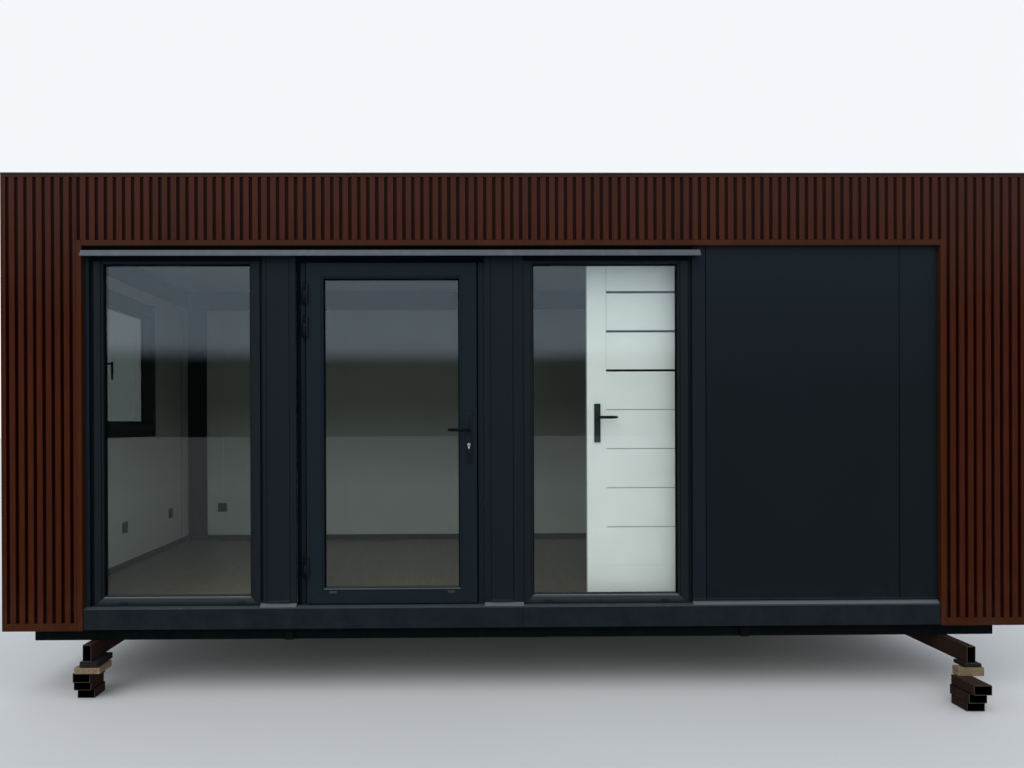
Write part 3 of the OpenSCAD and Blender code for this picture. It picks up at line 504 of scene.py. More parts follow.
# painted shade: the white lining darkens upwards from 1.0 to 1.8 m, the ceiling included
gradeUp(whiteWall, 1.0, 1.8, tone(150, 154, 148))
whiteDoor = coatFinish("whiteDoor", tone(241, 244, 242), 0.28, specular=0.4, drift=0.015)
grooveGrey = coatFinish("grooveGrey", tone(178, 182, 180), 0.5, specular=0.1, drift=0.01)
fittingBlack = coatFinish("fittingBlack", tone(7, 10, 12), 0.34, speckle=1500)
plateGrey = coatFinish("plateGrey", tone(19, 27, 34), 0.34, speckle=1500)
innerPlate = coatFinish("innerPlate", tone(42, 51, 49), 0.34, speckle=1500)
inlayBlack = coatFinish("inlayBlack", tone(12, 13, 14), 0.25, specular=0.2)
rubberBlack = coatFinish("rubberBlack", tone(5, 6, 7), 0.7, specular=0.04)
skirtGrey = coatFinish("skirtGrey", tone(13, 15, 16), 0.6, specular=0.04)
tubeInside = coatFinish("tubeInside", tone(7, 5, 4), 0.8, specular=0.0)
tubeEnd = coatFinish("tubeEnd", tone(62, 57, 50), 0.6, specular=0.2, drift=0.12)


def metalFinish(name, colour, roughness):
    made, tree, skin, spot = newFinish(name, metal=1.0)
    grain = use(tree, fineGrain, spot, Across=1400, Along=12)
    shown = blendTone(tree, grain["Mask"], colour, tuple(c * 0.86 for c in colour[:3]) + (1,))
    surface(tree, skin, shown, grain["Height"], roughness - 0.06, roughness + 0.12)
    bumps(tree, skin, grain["Height"], 0.08, 0.0002)
    return made


nickel = metalFinish("nickel", tone(196, 197, 196), 0.25)
screwMetal = metalFinish("screwMetal", tone(112, 114, 118), 0.4)


def rustyFinish():
    made, tree, skin, spot = newFinish("rustyTube", specular=0.15)
    rust = use(tree, rustBloom, spot, Scale=13, Spread=0.56)
    red = blendTone(tree, rust["Shade"], tone(32, 18, 12), tone(54, 31, 20))
    dark = blendTone(tree, rust["Shade"], tone(16, 13, 12), tone(26, 21, 19))
    colour = blendTone(tree, rust["Mask"], dark, red)
    dust = use(tree, settledDust, spot, Foot=0.0, Reach=0.25, Amount=0.04)
    colour = blendTone(tree, dust["Mask"], colour, tone(112, 106, 98))
    surface(tree, skin, colour, rust["Mask"], 0.5, 0.9)
    bumps(tree, skin, rust["Height"], 0.6, 0.0012)
    return made


def woodFinish(name, pale, dark, turned, dusty=0.14):     # turned lays the grain along X (1) or Y (2)
    made, tree, skin, spot = newFinish(name, specular=0.2)
    aim = (0, math.pi / 2, 0) if turned == 1 else (math.pi / 2, 0, 0)
    laid = step(tree, "Mapping", {"Vector": spot, "Rotation": aim}).outputs[0]
    grain = use(tree, fineGrain, laid, Across=150, Along=3)
    rings = step(tree, "TexWave", {"Vector": laid, "Scale": 22, "Distortion": 5, "Detail": 3},
                 bands_direction="X")
    drift = use(tree, toneDrift, spot, Scale=7, Amount=0.16)
    colour = blendTone(tree, grain["Mask"], dark, pale)
    colour = blendTone(tree, spanTo(tree, rings.outputs[1], 0, 0.45), colour, dark)
    colour = blendTone(tree, 1.0, colour, drift["Factor"], "MULTIPLY")
    dust = use(tree, settledDust, spot, Foot=0.1, Reach=0.3, Amount=dusty)
    colour = blendTone(tree, dust["Mask"], colour, tone(150, 145, 136))
    tree.links.new(colour, skin.inputs["Base Color"])
    skin.inputs["Roughness"].default_value = 0.8
    bumps(tree, skin, grain["Height"], 0.6, 0.0015)
    return made


def floorFinish():
    made, tree, skin, spot = newFinish("floorVinyl", specular=0.4)
    laid = step(tree, "Mapping", {"Vector": spot, "Rotation": (math.pi / 2, 0, 0)}).outputs[0]
    grain = use(tree, fineGrain, laid, Across=70, Along=2)
    place = step(tree, "SeparateXYZ", {0: spot})
    row = reckon(tree, "FLOOR", reckon(tree, "DIVIDE", place.outputs["X"], plankWide))
    lucky = step(tree, "TexWhiteNoise", {"W": row}, noise_dimensions="1D")
    drift = use(tree, toneDrift, spot, Scale=2.5, Amount=0.1)
    colour = blendTone(tree, grain["Mask"], tone(102, 93, 78), tone(126, 115, 97))
    shade = reckon(tree, "MULTIPLY", spanTo(tree, lucky.outputs[0], 0.93, 1.07), drift["Factor"])
    colour = blendTone(tree, 1.0, colour, shade, "MULTIPLY")
    surface(tree, skin, colour, grain["Height"], 0.3, 0.5)
    bumps(tree, skin, grain["Height"], 0.1, 0.0005)
    return made


def glassFinish(name, tint):
    made, tree, skin, spot = newFinish(name, roughness=0.0)
    skin.inputs["Transmission Weight"].default_value = 1.0
    skin.inputs["IOR"].default_value = 1.46
    film = use(tree, toneDrift, spot, Scale=5, Amount=0.03)
    clear = blendTone(tree, 1.0, tint, film["Factor"], "MULTIPLY")
    tree.links.new(clear, skin.inputs["Base Color"])
    clearWay = step(tree, "BsdfTransparent", {"Color": tint})
    path = tree.nodes.new("ShaderNodeLightPath").outputs
    soft = reckon(tree, "MAXIMUM", path["Is Shadow Ray"], path["Is Diffuse Ray"])
    mix = step(tree, "MixShader", {0: soft, 1: skin.outputs[0], 2: clearWay.outputs[0]})
    tree.links.new(mix.outputs[0], tree.nodes["Material Output"].inputs["Surface"])
    return made


rustyTube = rustyFinish()
packingTimber = woodFinish("packingTimber", tone(146, 128, 98), tone(104, 88, 64), 2)
darkTimber = woodFinish("darkTimber", tone(34, 26, 21), tone(20, 15, 13), 2, 0.02)
battenWood = woodFinish("battenWood", tone(170, 140, 98), tone(128, 98, 64), 1)
floorVinyl = floorFinish()
clearGlass = glassFinish("clearGlass", tone(244, 247, 245))
endGlass = glassFinish("endGlass", tone(88, 86, 79))      # sun glass in the end window
print("finishes made")


# stage: floor, world and one broad lamp

studio = {"floorTone": tone(214, 216, 218), "mirroredFloor": tone(148, 152, 152),
          "seen": (0.90, 0.93, 0.96, 1), "ambient": (0.94, 0.97, 1.0, 1), "ambientLevel": 0.78,
          "lampLevel": 1.1, "lampWidth": 50, "lampFrom": (-0.45, -0.95, 1.1),
          "mirroredSky": (0.93, 1.15, 1.4, 1), "mirroredLow": (0.02, 0.025, 0.025, 1), "skyline": (0.072, 0.1)}


def makeStage():
    letGo()
    ops.mesh.primitive_plane_add(size=200, location=(0, 0, 0))
    floor = bpy.context.active_object
    floor.name = "floor"
    made, tree, skin, spot = newFinish("paleFloor", roughness=0.8, specular=0.2)
    drift = use(tree, toneDrift, spot, Scale=0.5, Amount=0.02)
    mirrored = tree.nodes.new("ShaderNodeLightPath").outputs["Is Glossy Ray"]
    shown = blendTone(tree, mirrored, studio["floorTone"], studio["mirroredFloor"])
    tree.links.new(blendTone(tree, 1.0, shown, drift["Factor"], "MULTIPLY"), skin.inputs["Base Color"])
    floor.data.materials.append(made)
    world = bpy.data.worlds.new("studio")
    bpy.context.scene.world = world
    world.use_nodes = True
    tree = world.node_tree
    tree.nodes.clear()
    path = tree.nodes.new("ShaderNodeLightPath").outputs
    seen = reckon(tree, "MAXIMUM", path["Is Camera Ray"], reckon(tree, "MAXIMUM", path["Is Glossy Ray"],
                                                                 path["Is Transmission Ray"]))
    lit = step(tree, "Background", {"Color": studio["ambient"], "Strength": studio["ambientLevel"]})
    aim = step(tree, "SeparateXYZ", {0: tree.nodes.new("ShaderNodeTexCoord").outputs["Generated"]})
    sky = ramp(tree, aim.outputs["Z"], *studio["skyline"], interpolation_type="SMOOTHSTEP")
    openShare = reckon(tree, "MAXIMUM", sky, ramp(tree, aim.outputs["Y"], -0.1, 0.1))    # all open at the back
    mirrored = blendTone(tree, openShare, studio["mirroredLow"], studio["mirroredSky"])
    shown = blendTone(tree, path["Is Glossy Ray"], studio["seen"], mirrored)
    plain = step(tree, "Background", {"Color": shown, "Strength": 1.0})
    mix = step(tree, "MixShader", {0: seen, 1: lit.outputs[0], 2: plain.outputs[0]})
    step(tree, "OutputWorld", {"Surface": mix.outputs[0]})
    lamp = bpy.data.lights.new("softKey", "SUN")
    lamp.energy = studio["lampLevel"]
    lamp.angle = math.radians(studio["lampWidth"])
    key = bpy.data.objects.new("softKey", lamp)
    key.rotation_euler = Vector(studio["lampFrom"]).to_track_quat("Z", "Y").to_euler()
    bpy.context.collection.objects.link(key)
    bpy.context.scene.view_settings.view_transform = "Standard"


makeStage()
print("stage set")


# the shell: softened copies of what the CAD gives in its true shape

shell = [   # node, piece, slot, finish, edge radius, segments
    ("cladding_columns", "slattedColumns", "slatted_boards", slatBrown, 0.0016, 2),
    ("cladding_fascia", "slattedFascia", "slatted_boards", slatBrown, 0.0016, 2),
    ("cladding_trims", "cladTrims", "board_trim", trimBrown, 0.002, 2),
    ("recess_trim", "recessTrim", "board_trim", trimBrown, 0.002, 2),
    ("cladding_battens", "cladBattens", "batten_wood", battenWood, 0.0015, 1),
    ("post_covers", "postCovers", "anthracite_cover", coverGrey, 0.0013, 2),
    ("blank_panels", "blankPanels", "anthracite_cover", blankGrey, 0.0015, 2),
    ("head_cover", "headCover", "anthracite_cover", shadeGrey, 0.0012, 2),
    ("base_flashing", "baseFlashing", "anthracite_cover", coverGrey, 0.001, 2),
    ("front_sill", "frontSill", "anthracite_cover", coverGrey, 0.0018, 2),
    ("drip_strip", "dripStrip", "light_strip", stripMetal, 0.0008, 2),
    ("window_frames", "windowFrames", "anthracite_frame", windowGrey, 0.0022, 3),
    ("end_window_frame", "endWindowFrame", "anthracite_frame", frameGrey, 0.0022, 3),
    ("door_frame", "doorFrame", "anthracite_frame", frameGrey, 0.0018, 2),
    ("door_leaf", "doorLeaf", "anthracite_frame", frameGrey, 0.0022, 3),
    ("floor_rail", "floorRail", "anthracite_steel", steelGrey, 0.003, 2),
    ("roof_rail", "roofRail", "anthracite_steel", steelGrey, 0.003, 2),
    ("corner_posts", "cornerPosts", "anthracite_steel", steelGrey, 0.003, 2),
    ("roof_edge_cap", "roofEdgeCap", "anthracite_steel", capGrey, 0.0015, 2),
    ("roof_sheet", "roofSheet", "roof_steel", roofGrey, 0.0008, 1),
    ("roof_ribs", "roofRibs", "roof_steel", roofGrey, 0.003, 2),
    ("end_wall_left", "endWallLeft", "wall_panel", panelGrey, 0.002, 2),
    ("end_wall_right", "endWallRight", "wall_panel", panelGrey, 0.002, 2),
    ("back_wall", "backWall", "wall_panel", panelGrey, 0.002, 2),
    ("front_wall", "frontWall", "white_panel", whiteWall, 0.0015, 2),
    ("front_wall_head", "frontWallHead", "white_panel", whiteWall, 0.0015, 2),
    ("ceiling", "ceilingPanel", "white_panel", whiteWall, 0.0015, 2),
    ("partition_wall", "partitionWall", "white_panel", whiteWall, 0.0015, 2),
    ("partition_head", "partitionHead", "white_panel", whiteWall, 0.0015, 2),
    ("insulated_floor", "floorPanel", "floor_panel", floorCore, 0.002, 1),
    ("floor_covering", "floorCovering", "floor_vinyl", floorVinyl, 0.0006, 1),
    ("skirting", "skirtingBoards", "dark_trim", skirtGrey, 0.0022, 3),
    ("inner_door_frame", "innerDoorFrame", "white_door", whiteDoor, 0.002, 3),
    ("inner_door_leaf", "innerDoorLeaf", "white_door", whiteDoor, 0.0018, 3),
    ("inner_door_inlays", "innerDoorInlays", "black_inlay", inlayBlack, 0.0006, 2),
    ("skids", "skidFrame", "black_steel", blackSteel, 0.003, 2),
    ("support_tubes", "supportTubes", "rusty_tube", rustyTube, 0.0016, 2),
    ("support_timbers", "supportTimbers", "packing_timber", packingTimber, 0.004, 2),
    ("door_fittings", "lockPlates", "black_fittings", plateGrey, 0.0012, 3),
    ("frame_hinges", "frameHinges", "black_fittings", fittingBlack, 0.001, 2),
    ("inner_door_fittings", "innerLockPlates", "black_fittings", innerPlate, 0.0012, 3),
]
swinging = {"door_leaf": "front_door", "door_fittings": "front_door", "inner_door_leaf": "inner_door",
            "inner_door_inlays": "inner_door", "inner_door_fittings": "inner_door"}
made = {}
for node, name, slotName, finish, radius, segments in shell:
    piece = roundEdges(cleanCopy(node, name), radius, segments)
    made[name] = wear(piece, swinging.get(node, "cabin"), slotName, finish, node)
for name in ("lockPlates", "frameHinges", "innerLockPlates"):
    smooth(made[name], 35)
print("shell dressed")


# where pieces take a second finish: depths behind the cladding, levels and places along the cabin
second = {"joint": 0.06, "flashing": 0.04, "shade": 0.066, "backLining": 1.39, "endLining": 2.89,
          "postLining": 1.345, "windowShade": (2.556, -2.4815), "doorShade": (2.548, -1.2724),
          "jambEnd": -1.2458, "upperTimbers": (0.1989, 0.2119)}
for name in ("frontWall", "frontWallHead"):      # sealed dark where it shows in the joints outside
    paint(made[name], blankGrey, lambda c, n: n.y < -0.9 and c.y < deep(second["joint"]))
paint(made["backWall"], whiteWall, lambda c, n: n.y < -0.5 and c.y < second["backLining"])
paint(made["endWallLeft"], whiteWall, lambda c, n: n.x > 0.5 and c.x > -second["endLining"])
paint(made["endWallRight"], whiteWall, lambda c, n: n.x < -0.5 and c.x < second["endLining"])
# painted light: the tops of the base flashing lighter, as lit from above
paint(made["baseFlashing"], ledgeGrey, lambda c, n: n.z > 0.3 and c.y < deep(second["flashing"]))
# painted light: the sill's top faces lighter, as lit from above
paint(made["frontSill"], sillGrey, lambda c, n: n.z > 0.25)
for name in ("cornerPosts", "roofRail", "floorRail"):       # painted shade: their faces in the rooms darker than the same paint outside
    paint(made[name], innerSteel, lambda c, n: c.x * n.x < -0.9 * abs(c.x) or c.y * n.y < -0.9 * abs(c.y)
          or n.z < -0.9)
paint(made["cornerPosts"], whiteWall,             # lined like the end wall
      lambda c, n: c.x < -2.8 and 0 < c.y < second["postLining"] and n.x > 0.9)
for name, (low, left) in (("windowFrames", second["windowShade"]), ("doorFrame", second["doorShade"])):
    cutFace(made[name], (0, 0, low), (0, 0, 1))
    cutFace(made[name], (left, 0, 0), (1, 0, 0))
    paint(made[name], shadeGrey,                  # painted shade: the tops under the strip and the outer strips at the jamb and the post cover
          lambda c, n: (c.z > low or c.x < left) and c.y < deep(second["shade"]) and n.y < 0.5)
low, left = second["doorShade"]
right = second["jambEnd"]
# painted shade: the door frame's hinge-side strip, set back beside the post cover, a little darker
cutFace(made["doorFrame"], (right, 0, 0), (1, 0, 0))
paint(made["doorFrame"], blankGrey, lambda c, n: left < c.x < right - 0.0002 and c.z < low and n.y < -0.5)
# painted shade: the upper timbers of the stacks much darker than the lower ones
paint(made["supportTimbers"], darkTimber, lambda c, n: c.z > second["upperTimbers"][c.x > 0])
paint(made["supportTubes"], tubeEnd, lambda c, n: abs(n.y) > 0.9)
# painted shade: the faces inside the hollow tubes near black
paint(made["supportTubes"], tubeInside,
      lambda c, n: made["supportTubes"].ray_cast(c + n * 0.001, n, distance=0.2)[0])
for node in ("window_glass", "door_glass", "end_window_glass"):
    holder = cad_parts[node]
    holder.data.materials.clear()
    holder.data.materials.append(endGlass if node == "end_window_glass" else clearGlass)


# glazing: gaskets on both faces of each pane, sloped beads and drain caps
glazing = {"paneApart": 1.2, "gasket": 0.006, "gasketOut": 0.004, "bead": 0.0135, "slope": 0.007,
           "windowBead": (0.0475, 0.0562), "doorBead": (0.0465, 0.0542), "footLevel": 0.7,
           "capLong": 0.044, "capHigh": 0.013, "capOut": 0.005, "windowCaps": (-2.311, -1.625, 0.182, 0.8735),
           "windowCapLevel": 0.5515, "doorCaps": (-1.087, -0.391), "doorCapLevel": 0.607}


def panesOf(node):                # the box of each pane of a glass node, from left to right
    points = sorted(tuple(v.co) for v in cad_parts[node].data.vertices)
    groups = [[points[0]]]
    for point in points[1:]:
        if point[0] - groups[-1][-1][0] > glazing["paneApart"]:
            groups.append([])
        groups[-1].append(point)
    return [(Vector(map(min, zip(*group))), Vector(map(max, zip(*group)))) for group in groups]


def gasketRings(name, boxes, axis=1):
    rings = []
    for low, high in boxes:
        for face, out in ((low[axis], -1), (high[axis], 1)):
            a, b = low.copy(), high.copy()
            a[axis], b[axis] = sorted((face, face + out * glazing["gasketOut"]))
            rings.append(roundEdges(ring(name, a, b, glazing["gasket"], axis), 0.0012, 2))
    return joinUp(rings, name)


def beadRing(name, low, high, faceDepth, seatDepth):
    bar, near = glazing["bead"], 0.0005
    piece = ring(name, (low.x - bar, deep(faceDepth), low.z - bar),
                 (high.x + bar, deep(seatDepth), high.z + bar), bar)

    def inner(p):
        return (abs(p.y - deep(faceDepth)) < near and low.x - near < p.x < high.x + near
                and low.z - near < p.z < high.z + near)
    pick(piece, "EDGE", lambda a, b: inner(a) and inner(b))
    ops.mesh.bevel(offset=glazing["slope"], segments=2, profile=0.6)
    return roundEdges(done(piece), 0.0006, 1, 60)


windowPanes, doorPanes, endPanes = map(panesOf, ("window_glass", "door_glass", "end_window_glass"))
for name, panes, body in (("windowGaskets", windowPanes, "cabin"), ("doorGaskets", doorPanes, "front_door")):
    gasket = wear(gasketRings(name, panes), body, "anthracite_frame", rubberBlack)
    # painted light: the gasket under each pane in the lit sill tone
    paint(gasket, sillGrey, lambda c, n: c.z < panes[0][0].z + glazing["gasket"])
wear(gasketRings("endGaskets", endPanes, 0), "cabin", "anthracite_frame", rubberBlack)
beads = [beadRing("windowBeads", *pane, *glazing["windowBead"]) for pane in windowPanes]
beads = wear(joinUp(beads, "windowBeads"), "cabin", "anthracite_frame", windowGrey)
doorBead = beadRing("doorBead", *doorPanes[0], *glazing["doorBead"])
wear(doorBead, "front_door", "anthracite_frame", frameGrey)
# painted highlight: the beads at the foot of the glass lighter, their sloped tops lightest
paint(beads, beadGrey, lambda c, n: n.z > 0.25 and c.z < glazing["footLevel"])
paint(beads, beadFoot, lambda c, n: n.y < -0.9 and c.z < glazing["footLevel"] and abs(n.x) < 0.1)
paint(doorBead, beadFoot, lambda c, n: n.z > 0.25 and c.z < glazing["footLevel"])


def drainCap():
    cap = block("drainCap", (-glazing["capLong"] / 2, -glazing["capHigh"] / 2, 0),
                (glazing["capLong"] / 2, glazing["capHigh"] / 2, glazing["capOut"]))
    pick(cap, "FACE", lambda c, n: n.z > 0.9)
    ops.mesh.inset(thickness=0.0016)        # a hood, sloped on top
    ops.transform.resize(value=(0.86, 0.4, 1), center_override=(0, -glazing["capHigh"] * 0.3, 0))
    return roundEdges(done(cap), 0.0007, 2)


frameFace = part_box("window_frames")[0].y
leafLow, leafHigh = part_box("door_leaf")
capPlaces = [((x, frameFace, glazing["windowCapLevel"]), "front") for x in glazing["windowCaps"]]
wear(stamp(drainCap(), "windowDrainCaps", capPlaces), "cabin", "anthracite_frame", frameGrey)
capPlaces = [((x, leafLow.y, glazing["doorCapLevel"]), "front") for x in glazing["doorCaps"]]
# painted light: the door's drain caps in the lit sill tone, their sloped tops lighter still
doorCaps = wear(stamp(drainCap(), "doorDrainCaps", capPlaces), "front_door", "anthracite_frame", sillGrey)
paint(doorCaps, stripMetal, lambda c, n: n.z > 0.25)

# hairline mitres where the bars of the frames and the leaf meet
mitre = {"wide": 0.0009, "deep": 0.0007, "windowReach": 0.075, "leafReach": 0.11}


def mitres(piece, low, high, face, reach):
    for x, sideX in ((low.x, 1), (high.x, -1)):
        for z, sideZ in ((low.z, 1), (high.z, -1)):
            score(piece, (x, face, z), (sideZ, 0, -sideX) if sideX * sideZ > 0 else (1, 0, 1), mitre["wide"],
                  mitre["deep"], (0, 1, 0), lambda p: abs(p.x - x) < reach and abs(p.z - z) < reach)


for low, high in windowPanes:
    mitres(made["windowFrames"], low, high, frameFace, mitre["windowReach"])
paint(made["windowFrames"], footGrey, lambda c, n: c.z < 0.6 and n.y < -0.5)
mitres(made["doorLeaf"], *doorPanes[0], leafLow.y, mitre["leafReach"])

# rubber sweep under the leaf, narrower at its foot
sweepSize = {"short": 0.004, "down": 0.004, "up": 0.0005, "face": 0.046, "middle": 0.053, "back": 0.06}
sweep = block("leafSweep",
              (leafLow.x + sweepSize["short"], deep(sweepSize["face"]), leafLow.z - sweepSize["down"]),
              (leafHigh.x - sweepSize["short"], deep(sweepSize["back"]), leafLow.z + sweepSize["up"]))
pick(sweep, "FACE", lambda c, n: n.z < -0.9)
ops.transform.resize(value=(1, 0.5, 1), center_override=(0, deep(sweepSize["middle"]), 0))
wear(roundEdges(done(sweep), 0.001, 2), "front_door", "anthracite_frame", frameGrey)
print("glazing done")


# screws: a pan head with a recess, modelled once
def screwHead(radius, high):
    head = rod("screwHead", (0, 0, 0), (0, 0, high), radius, 14)
    return smooth(stepIn(head, 2, 1, (radius * 0.3, high * 0.2), (radius * 0.28, -high * 0.5)), 40)


# locks: screws and the cylinder of the front door, the caps of the hinges
lock = {"x": -0.285, "leverZ": 1.561, "cylinderZ": 1.473, "screwLevels": (1.382, 1.65), "plateOut": 0.007,
        "cylinderOut": 0.015}
innerLock = {"x": 0.503, "leverZ": 1.633, "screwLevels": (1.494, 1.702), "stile": 0.559}
innerLow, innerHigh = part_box("inner_door_leaf")
for y, way in ((innerLow.y, 1), (innerHigh.y, -1)):      # the line where the stile meets the panels
    score(made["innerDoorLeaf"], (innerLock["stile"], y, 1), (1, 0, 0), 0.003, 0.0012, (0, way, 0))
paint(made["innerDoorLeaf"], grooveGrey,           # painted shade: what is sunk into its faces, not its rim, in a darker grey
      lambda c, n: innerLow.y + 0.0004 < c.y < innerHigh.y - 0.0004
      and innerLow.x + 0.02 < c.x < innerHigh.x - 0.02 and innerLow.z + 0.3 < c.z < innerHigh.z - 0.02)


def screwPlaces(at, low, high):
    return [((at["x"], y, z), way) for y, way in ((low.y - lock["plateOut"], "front"),
                                                  (high.y + lock["plateOut"], "back"))
            for z in at["screwLevels"]]


plateScrews = stamp(screwHead(0.0036, 0.0012), "plateScrews", screwPlaces(lock, leafLow, leafHigh))
wear(plateScrews, "front_door", "black_fittings", fittingBlack)
innerScrews = stamp(screwHead(0.0034, 0.0012), "innerPlateScrews", screwPlaces(innerLock, innerLow, innerHigh))
wear(innerScrews, "inner_door", "black_fittings", inlayBlack)


# the end window has a sash on its room side, with the handle on its near stile
sash = {"back": -2.9402, "face": -2.866, "inside": 0.048, "bar": 0.066, "step": 0.014,
        "handleIn": 0.096, "handleUp": 0.535, "baseWide": 0.03, "baseHigh": 0.066, "baseThick": 0.011,
        "neck": 0.0075, "neckLong": 0.055, "gripLong": 0.128, "gripWide": 0.019, "gripThick": 0.013,
        "gripUp": 0.012}
endLow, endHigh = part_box("end_window_frame")
sashFrame = ring("endSash", (sash["back"], endLow.y + sash["inside"], endLow.z + sash["inside"]),
                 (sash["face"], endHigh.y - sash["inside"], endHigh.z - sash["inside"]), sash["bar"], 0)
rim = sash["inside"] + sash["bar"] - 0.001
pick(sashFrame, "EDGE", lambda a, b: min(a.x, b.x) > sash["face"] - 0.001
     and endLow.y + rim < min(a.y, b.y) and max(a.y, b.y) < endHigh.y - rim
     and endLow.z + rim < min(a.z, b.z) and max(a.z, b.z) < endHigh.z - rim)
ops.mesh.bevel(offset=sash["step"], segments=3, profile=0.35)
wear(roundEdges(done(sashFrame), 0.003, 3, 40), "cabin", "anthracite_frame", frameGrey)


def windowHandle():               # made at the origin: base against the sash, grip hanging down
    wide, high = sash["baseWide"] / 2, sash["baseHigh"] / 2
    base = block("windowHandle", (0, -wide, -high), (sash["baseThick"], wide, high))
    roundEdges(stepIn(base, 0, 1, (0.004, 0.002)), 0.002, 3)
    neck = rod("windowHandle", (0.006, 0, 0), (sash["neckLong"], 0, 0), sash["neck"], 28)
    stepIn(neck, 0, 1, (0.0015, 0.001))
    start, wide = sash["neckLong"] - 0.005, sash["gripWide"] / 2
    grip = block("windowHandle", (start, -wide, sash["gripUp"] - sash["gripLong"]),
                 (start + sash["gripThick"], wide, sash["gripUp"]))
    pick(grip, "EDGE", lambda a, b: abs(a.z - b.z) > 0.05)
    ops.mesh.subdivide(number_cuts=4)
    done(grip)
    pick(grip, "VERT", lambda p: p.z < -0.08)
    ops.transform.resize(value=(0.8, 0.78, 1), center_override=(sash["neckLong"], 0, -0.1))
    roundEdges(done(grip), 0.004, 4, 50)
    return smooth(joinUp([base, neck, grip], "windowHandle"), 50)


handle = windowHandle()
handlePlace = (sash["face"], endLow.y + sash["handleIn"], endLow.z + sash["handleUp"])
handle.data.transform(Matrix.Translation(handlePlace))
wear(handle, "cabin", "black_fittings", fittingBlack)


def lockCylinder(y, out):         # the chrome face with its plug and key way
    place = Vector((lock["x"], y, lock["cylinderZ"]))
    outward = Vector((0, out, 0))
    body = rod("lockCylinder", place - outward * 0.002, place + outward * 0.0012, 0.0095, 40)
    stepIn(body, 1, out, (0.0018, -0.0006), (0.0012, 0.0009))
    return smooth(roundEdges(body, 0.0003, 2), 40)


def keyWay(y, out):
    slot = block("keyWay", (lock["x"] - 0.0012, min(y, y + out * 0.0021), lock["cylinderZ"] - 0.0048),
                 (lock["x"] + 0.0012, max(y, y + out * 0.0021), lock["cylinderZ"] + 0.0048))
    return stepIn(slot, 1, out, (0.0004, -0.0006))


def cylinderLobe(y, out):         # the lower part of the lock cylinder, below the round plug
    lobe = block("cylinderLobe", (lock["x"] - 0.0052, min(y, y + out * 0.003), lock["cylinderZ"] - 0.0265),
                 (lock["x"] + 0.0052, max(y, y + out * 0.003), lock["cylinderZ"] - 0.009))
    pick(lobe, "EDGE", lambda a, b: abs(a.y - b.y) > 0.001 and a.z < lock["cylinderZ"] - 0.02)
    ops.mesh.bevel(offset=0.0048, segments=5)
    return smooth(stepIn(done(lobe), 1, out, (0.0009, 0.0005)), 35)


for name, model, ahead, finish in (("lockCylinder", lockCylinder, "cylinderOut", nickel),
                                   ("cylinderLobes", cylinderLobe, "plateOut", nickel),
                                   ("keyWay", keyWay, "cylinderOut", rubberBlack)):
    pair = [model(leafLow.y - lock[ahead], -1), model(leafHigh.y + lock[ahead], 1)]
    wear(joinUp(pair, name), "front_door", "black_fittings", finish)

hinge = {"x": -1.247, "y": deep(0.03), "levels": (0.691, 2.111, 2.306), "high": 0.117, "capHigh": 0.005,
         "screwX": -1.261, "screwY": deep(0.026), "screwUp": (0.02, 0.0585, 0.097)}


def hingeCap():
    cap = rod("hingeCap", (0, 0, 0), (0, 0, hinge["capHigh"]), 0.0074, 28)
    return smooth(roundEdges(stepIn(cap, 2, 1, (0.002, 0.0012)), 0.0014, 3, 40), 50)


hingeEnds = [((hinge["x"], hinge["y"], z + up), way) for z in hinge["levels"]
             for up, way in ((hinge["high"], "up"), (0, "down"))]
wear(stamp(hingeCap(), "hingeCaps", hingeEnds), "cabin", "black_fittings", fittingBlack)
hingeScrews = [((hinge["screwX"], hinge["screwY"], z + up), "front")
               for z in hinge["levels"] for up in hinge["screwUp"]]
wear(stamp(screwHead(0.003, 0.001), "hingeScrews", hingeScrews), "cabin", "black_fittings", fittingBlack)


# levers: neck with a collar, and a grip that narrows and rounds towards its tip
lever = {"seat": 0.0073, "spindle": 0.0045, "neck": 0.008, "neckLong": 0.038, "collar": 0.0105,
         "high": 0.018, "tipHigh": 0.72}


def leverPair(name, at, low, high, reach):
    x, z = at["x"], at["leverZ"]
    faces = (low.y - lever["seat"], high.y + lever["seat"])
    parts = [rod(name, (x, faces[0], z), (x, faces[1], z), lever["spindle"], 20)]
    for near, out in zip(faces, (-1, 1)):
        far = near + out * lever["neckLong"]
        neck = rod(name, (x, near, z), (x, far, z), lever["neck"], 36)
        parts.append(smooth(roundEdges(neck, 0.0008, 2, 60), 50))
        collar = rod(name, (x, near, z), (x, near + out * 0.004, z), lever["collar"], 36)
        stepIn(collar, 1, out, (0.0012, 0.0012))
        parts.append(smooth(roundEdges(collar, 0.0006, 2, 40), 50))
        ends = sorted((x - math.copysign(lever["neck"], reach), x + reach))
        back, face = sorted((far + out * 0.008, far - out * 0.004))
        grip = block(name, (ends[0], back, z - lever["high"] / 2), (ends[1], face, z + lever["high"] / 2))
        pick(grip, "EDGE", lambda a, b: abs(a.x - b.x) > 0.05)
        ops.mesh.subdivide(number_cuts=3)
        done(grip)
        pick(grip, "VERT", lambda p: (p.x - x) * math.copysign(1, reach) > abs(reach) * 0.95)
        ops.transform.resize(value=(1, 0.8, lever["tipHigh"]),
                             center_override=(x + reach, (back + face) / 2, z + 0.001))
        parts.append(smooth(roundEdges(done(grip), 0.0038, 4, 50), 50))
    return joinUp(parts, name)


frontLever = leverPair("frontLever", lock, leafLow, leafHigh, -0.124)
wear(frontLever, "front_lever", "black_fittings", fittingBlack, "front_lever")
innerLever = leverPair("innerLever", innerLock, innerLow, innerHigh, 0.118)
wear(innerLever, "inner_lever", "black_fittings", inlayBlack, "inner_lever")
print("fittings done")


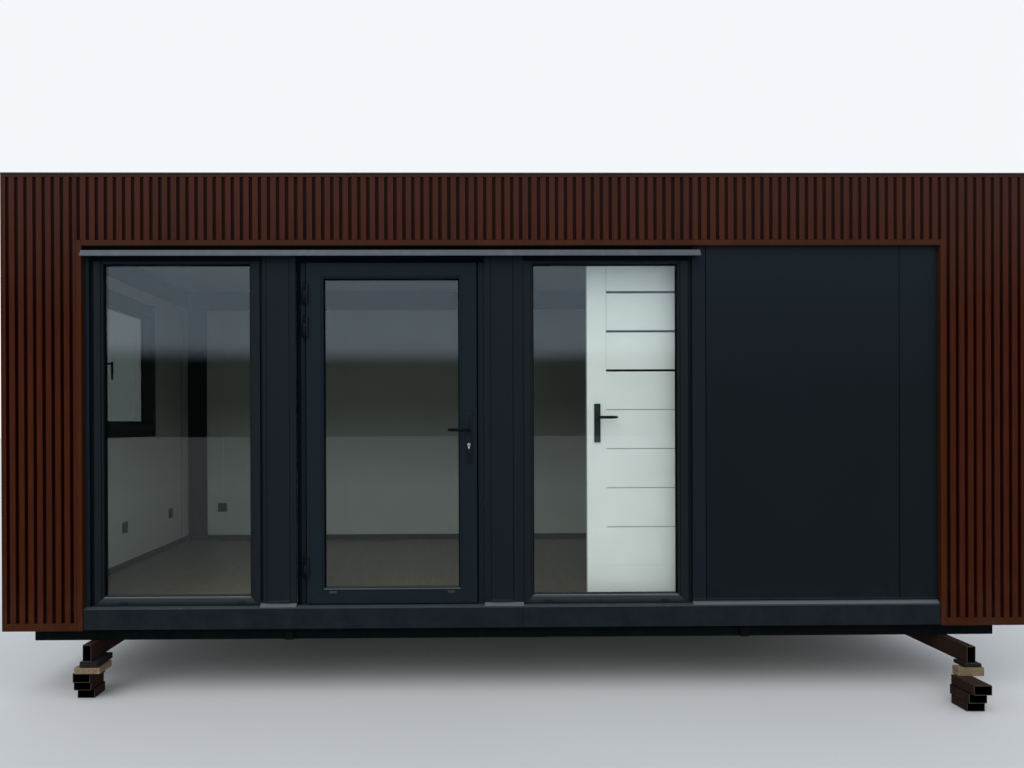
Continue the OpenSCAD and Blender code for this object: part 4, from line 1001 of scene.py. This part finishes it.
# sockets: a frame, a sunk face and a round well
socket = {"wide": 0.083, "level": 0.818, "wellRadius": 0.0205, "leftDepths": (1.435, 2.409), "backX": -2.556}


def socketModel():
    half = socket["wide"] / 2
    plate = block("socketPlate", (-half, -half, 0), (half, half, 0.0085))
    roundEdges(stepIn(plate, 2, 1, (0.009, -0.0022), (0.0012, 0.0015)), 0.0012, 3)
    well = rod("socketWell", (0, 0, 0.0065), (0, 0, 0.0105), socket["wellRadius"], 40)
    pick(well, "FACE", lambda c, n: n.z > 0.9)
    ops.mesh.inset(thickness=0.0022)
    ops.mesh.extrude_region_move(TRANSFORM_OT_translate={"value": (0, 0, -0.0032)})
    smooth(roundEdges(done(well), 0.0004, 2, 40), 40)
    return joinUp([plate, well], "socketModel")


socketLow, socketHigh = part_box("sockets")
socketPlaces = [((socketLow.x, deep(depth), socket["level"]), "right") for depth in socket["leftDepths"]]
socketPlaces.append(((socket["backX"], socketHigh.y, socket["level"]), "front"))
wear(stamp(socketModel(), "wallSockets", socketPlaces), "cabin", "dark_trim", skirtGrey, "sockets")

# joints of the wall and ceiling panels, screws sunk in those outside, and the screws of the roof
joints = {"wide": 0.022, "deep": 0.004, "inWide": 0.003, "inDeep": 0.002, "back": 1.5, "backInside": 1.38,
          "ceiling": 2.848, "end": 3.0, "bays": (-2.547, -1.397, -0.247, 0.903, 2.053),
          "endBays": (-0.7, 0.0225, 0.745), "screwIn": 0.0035,
          "screwLevels": (0.56, 0.95, 1.35, 1.75, 2.15, 2.6),
          "roof": 3.0612, "roofRows": (-1.25, -0.45, 0.4, 1.25), "roofPitch": 0.25}
outer, inner = (joints["wide"], joints["deep"]), (joints["inWide"], joints["inDeep"])
jointScrews = []
for x in joints["bays"]:
    score(made["backWall"], (x, joints["back"], 1), (1, 0, 0), *outer, (0, -1, 0))
    score(made["backWall"], (x, joints["backInside"], 1), (1, 0, 0), *inner, (0, 1, 0))
    score(made["ceilingPanel"], (x, 0, joints["ceiling"]), (1, 0, 0), *inner, (0, 0, 1))
    jointScrews += [((x, joints["back"] - joints["screwIn"], z), "back") for z in joints["screwLevels"]]
for name, side, way, bays in (("endWallRight", 1, "right", joints["endBays"]),
                              ("endWallLeft", -1, "left", joints["endBays"][::2])):
    screwX = side * (joints["end"] - joints["screwIn"])
    for y in bays:
        score(made[name], (side * joints["end"], y, 1), (0, 1, 0), *outer, (-side, 0, 0))
        jointScrews += [((screwX, y, z), way) for z in joints["screwLevels"]]
wear(stamp(screwHead(0.0045, 0.0018), "wallScrews", jointScrews), "cabin", "wall_panel", screwMetal)
roofScrews = [((i * joints["roofPitch"], y, joints["roof"]), "up") for i in range(-11, 12)
              for y in joints["roofRows"]]
wear(stamp(screwHead(0.005, 0.0012), "roofScrews", roofScrews), "cabin", "roof_steel", screwMetal)
print("joints and screws done")
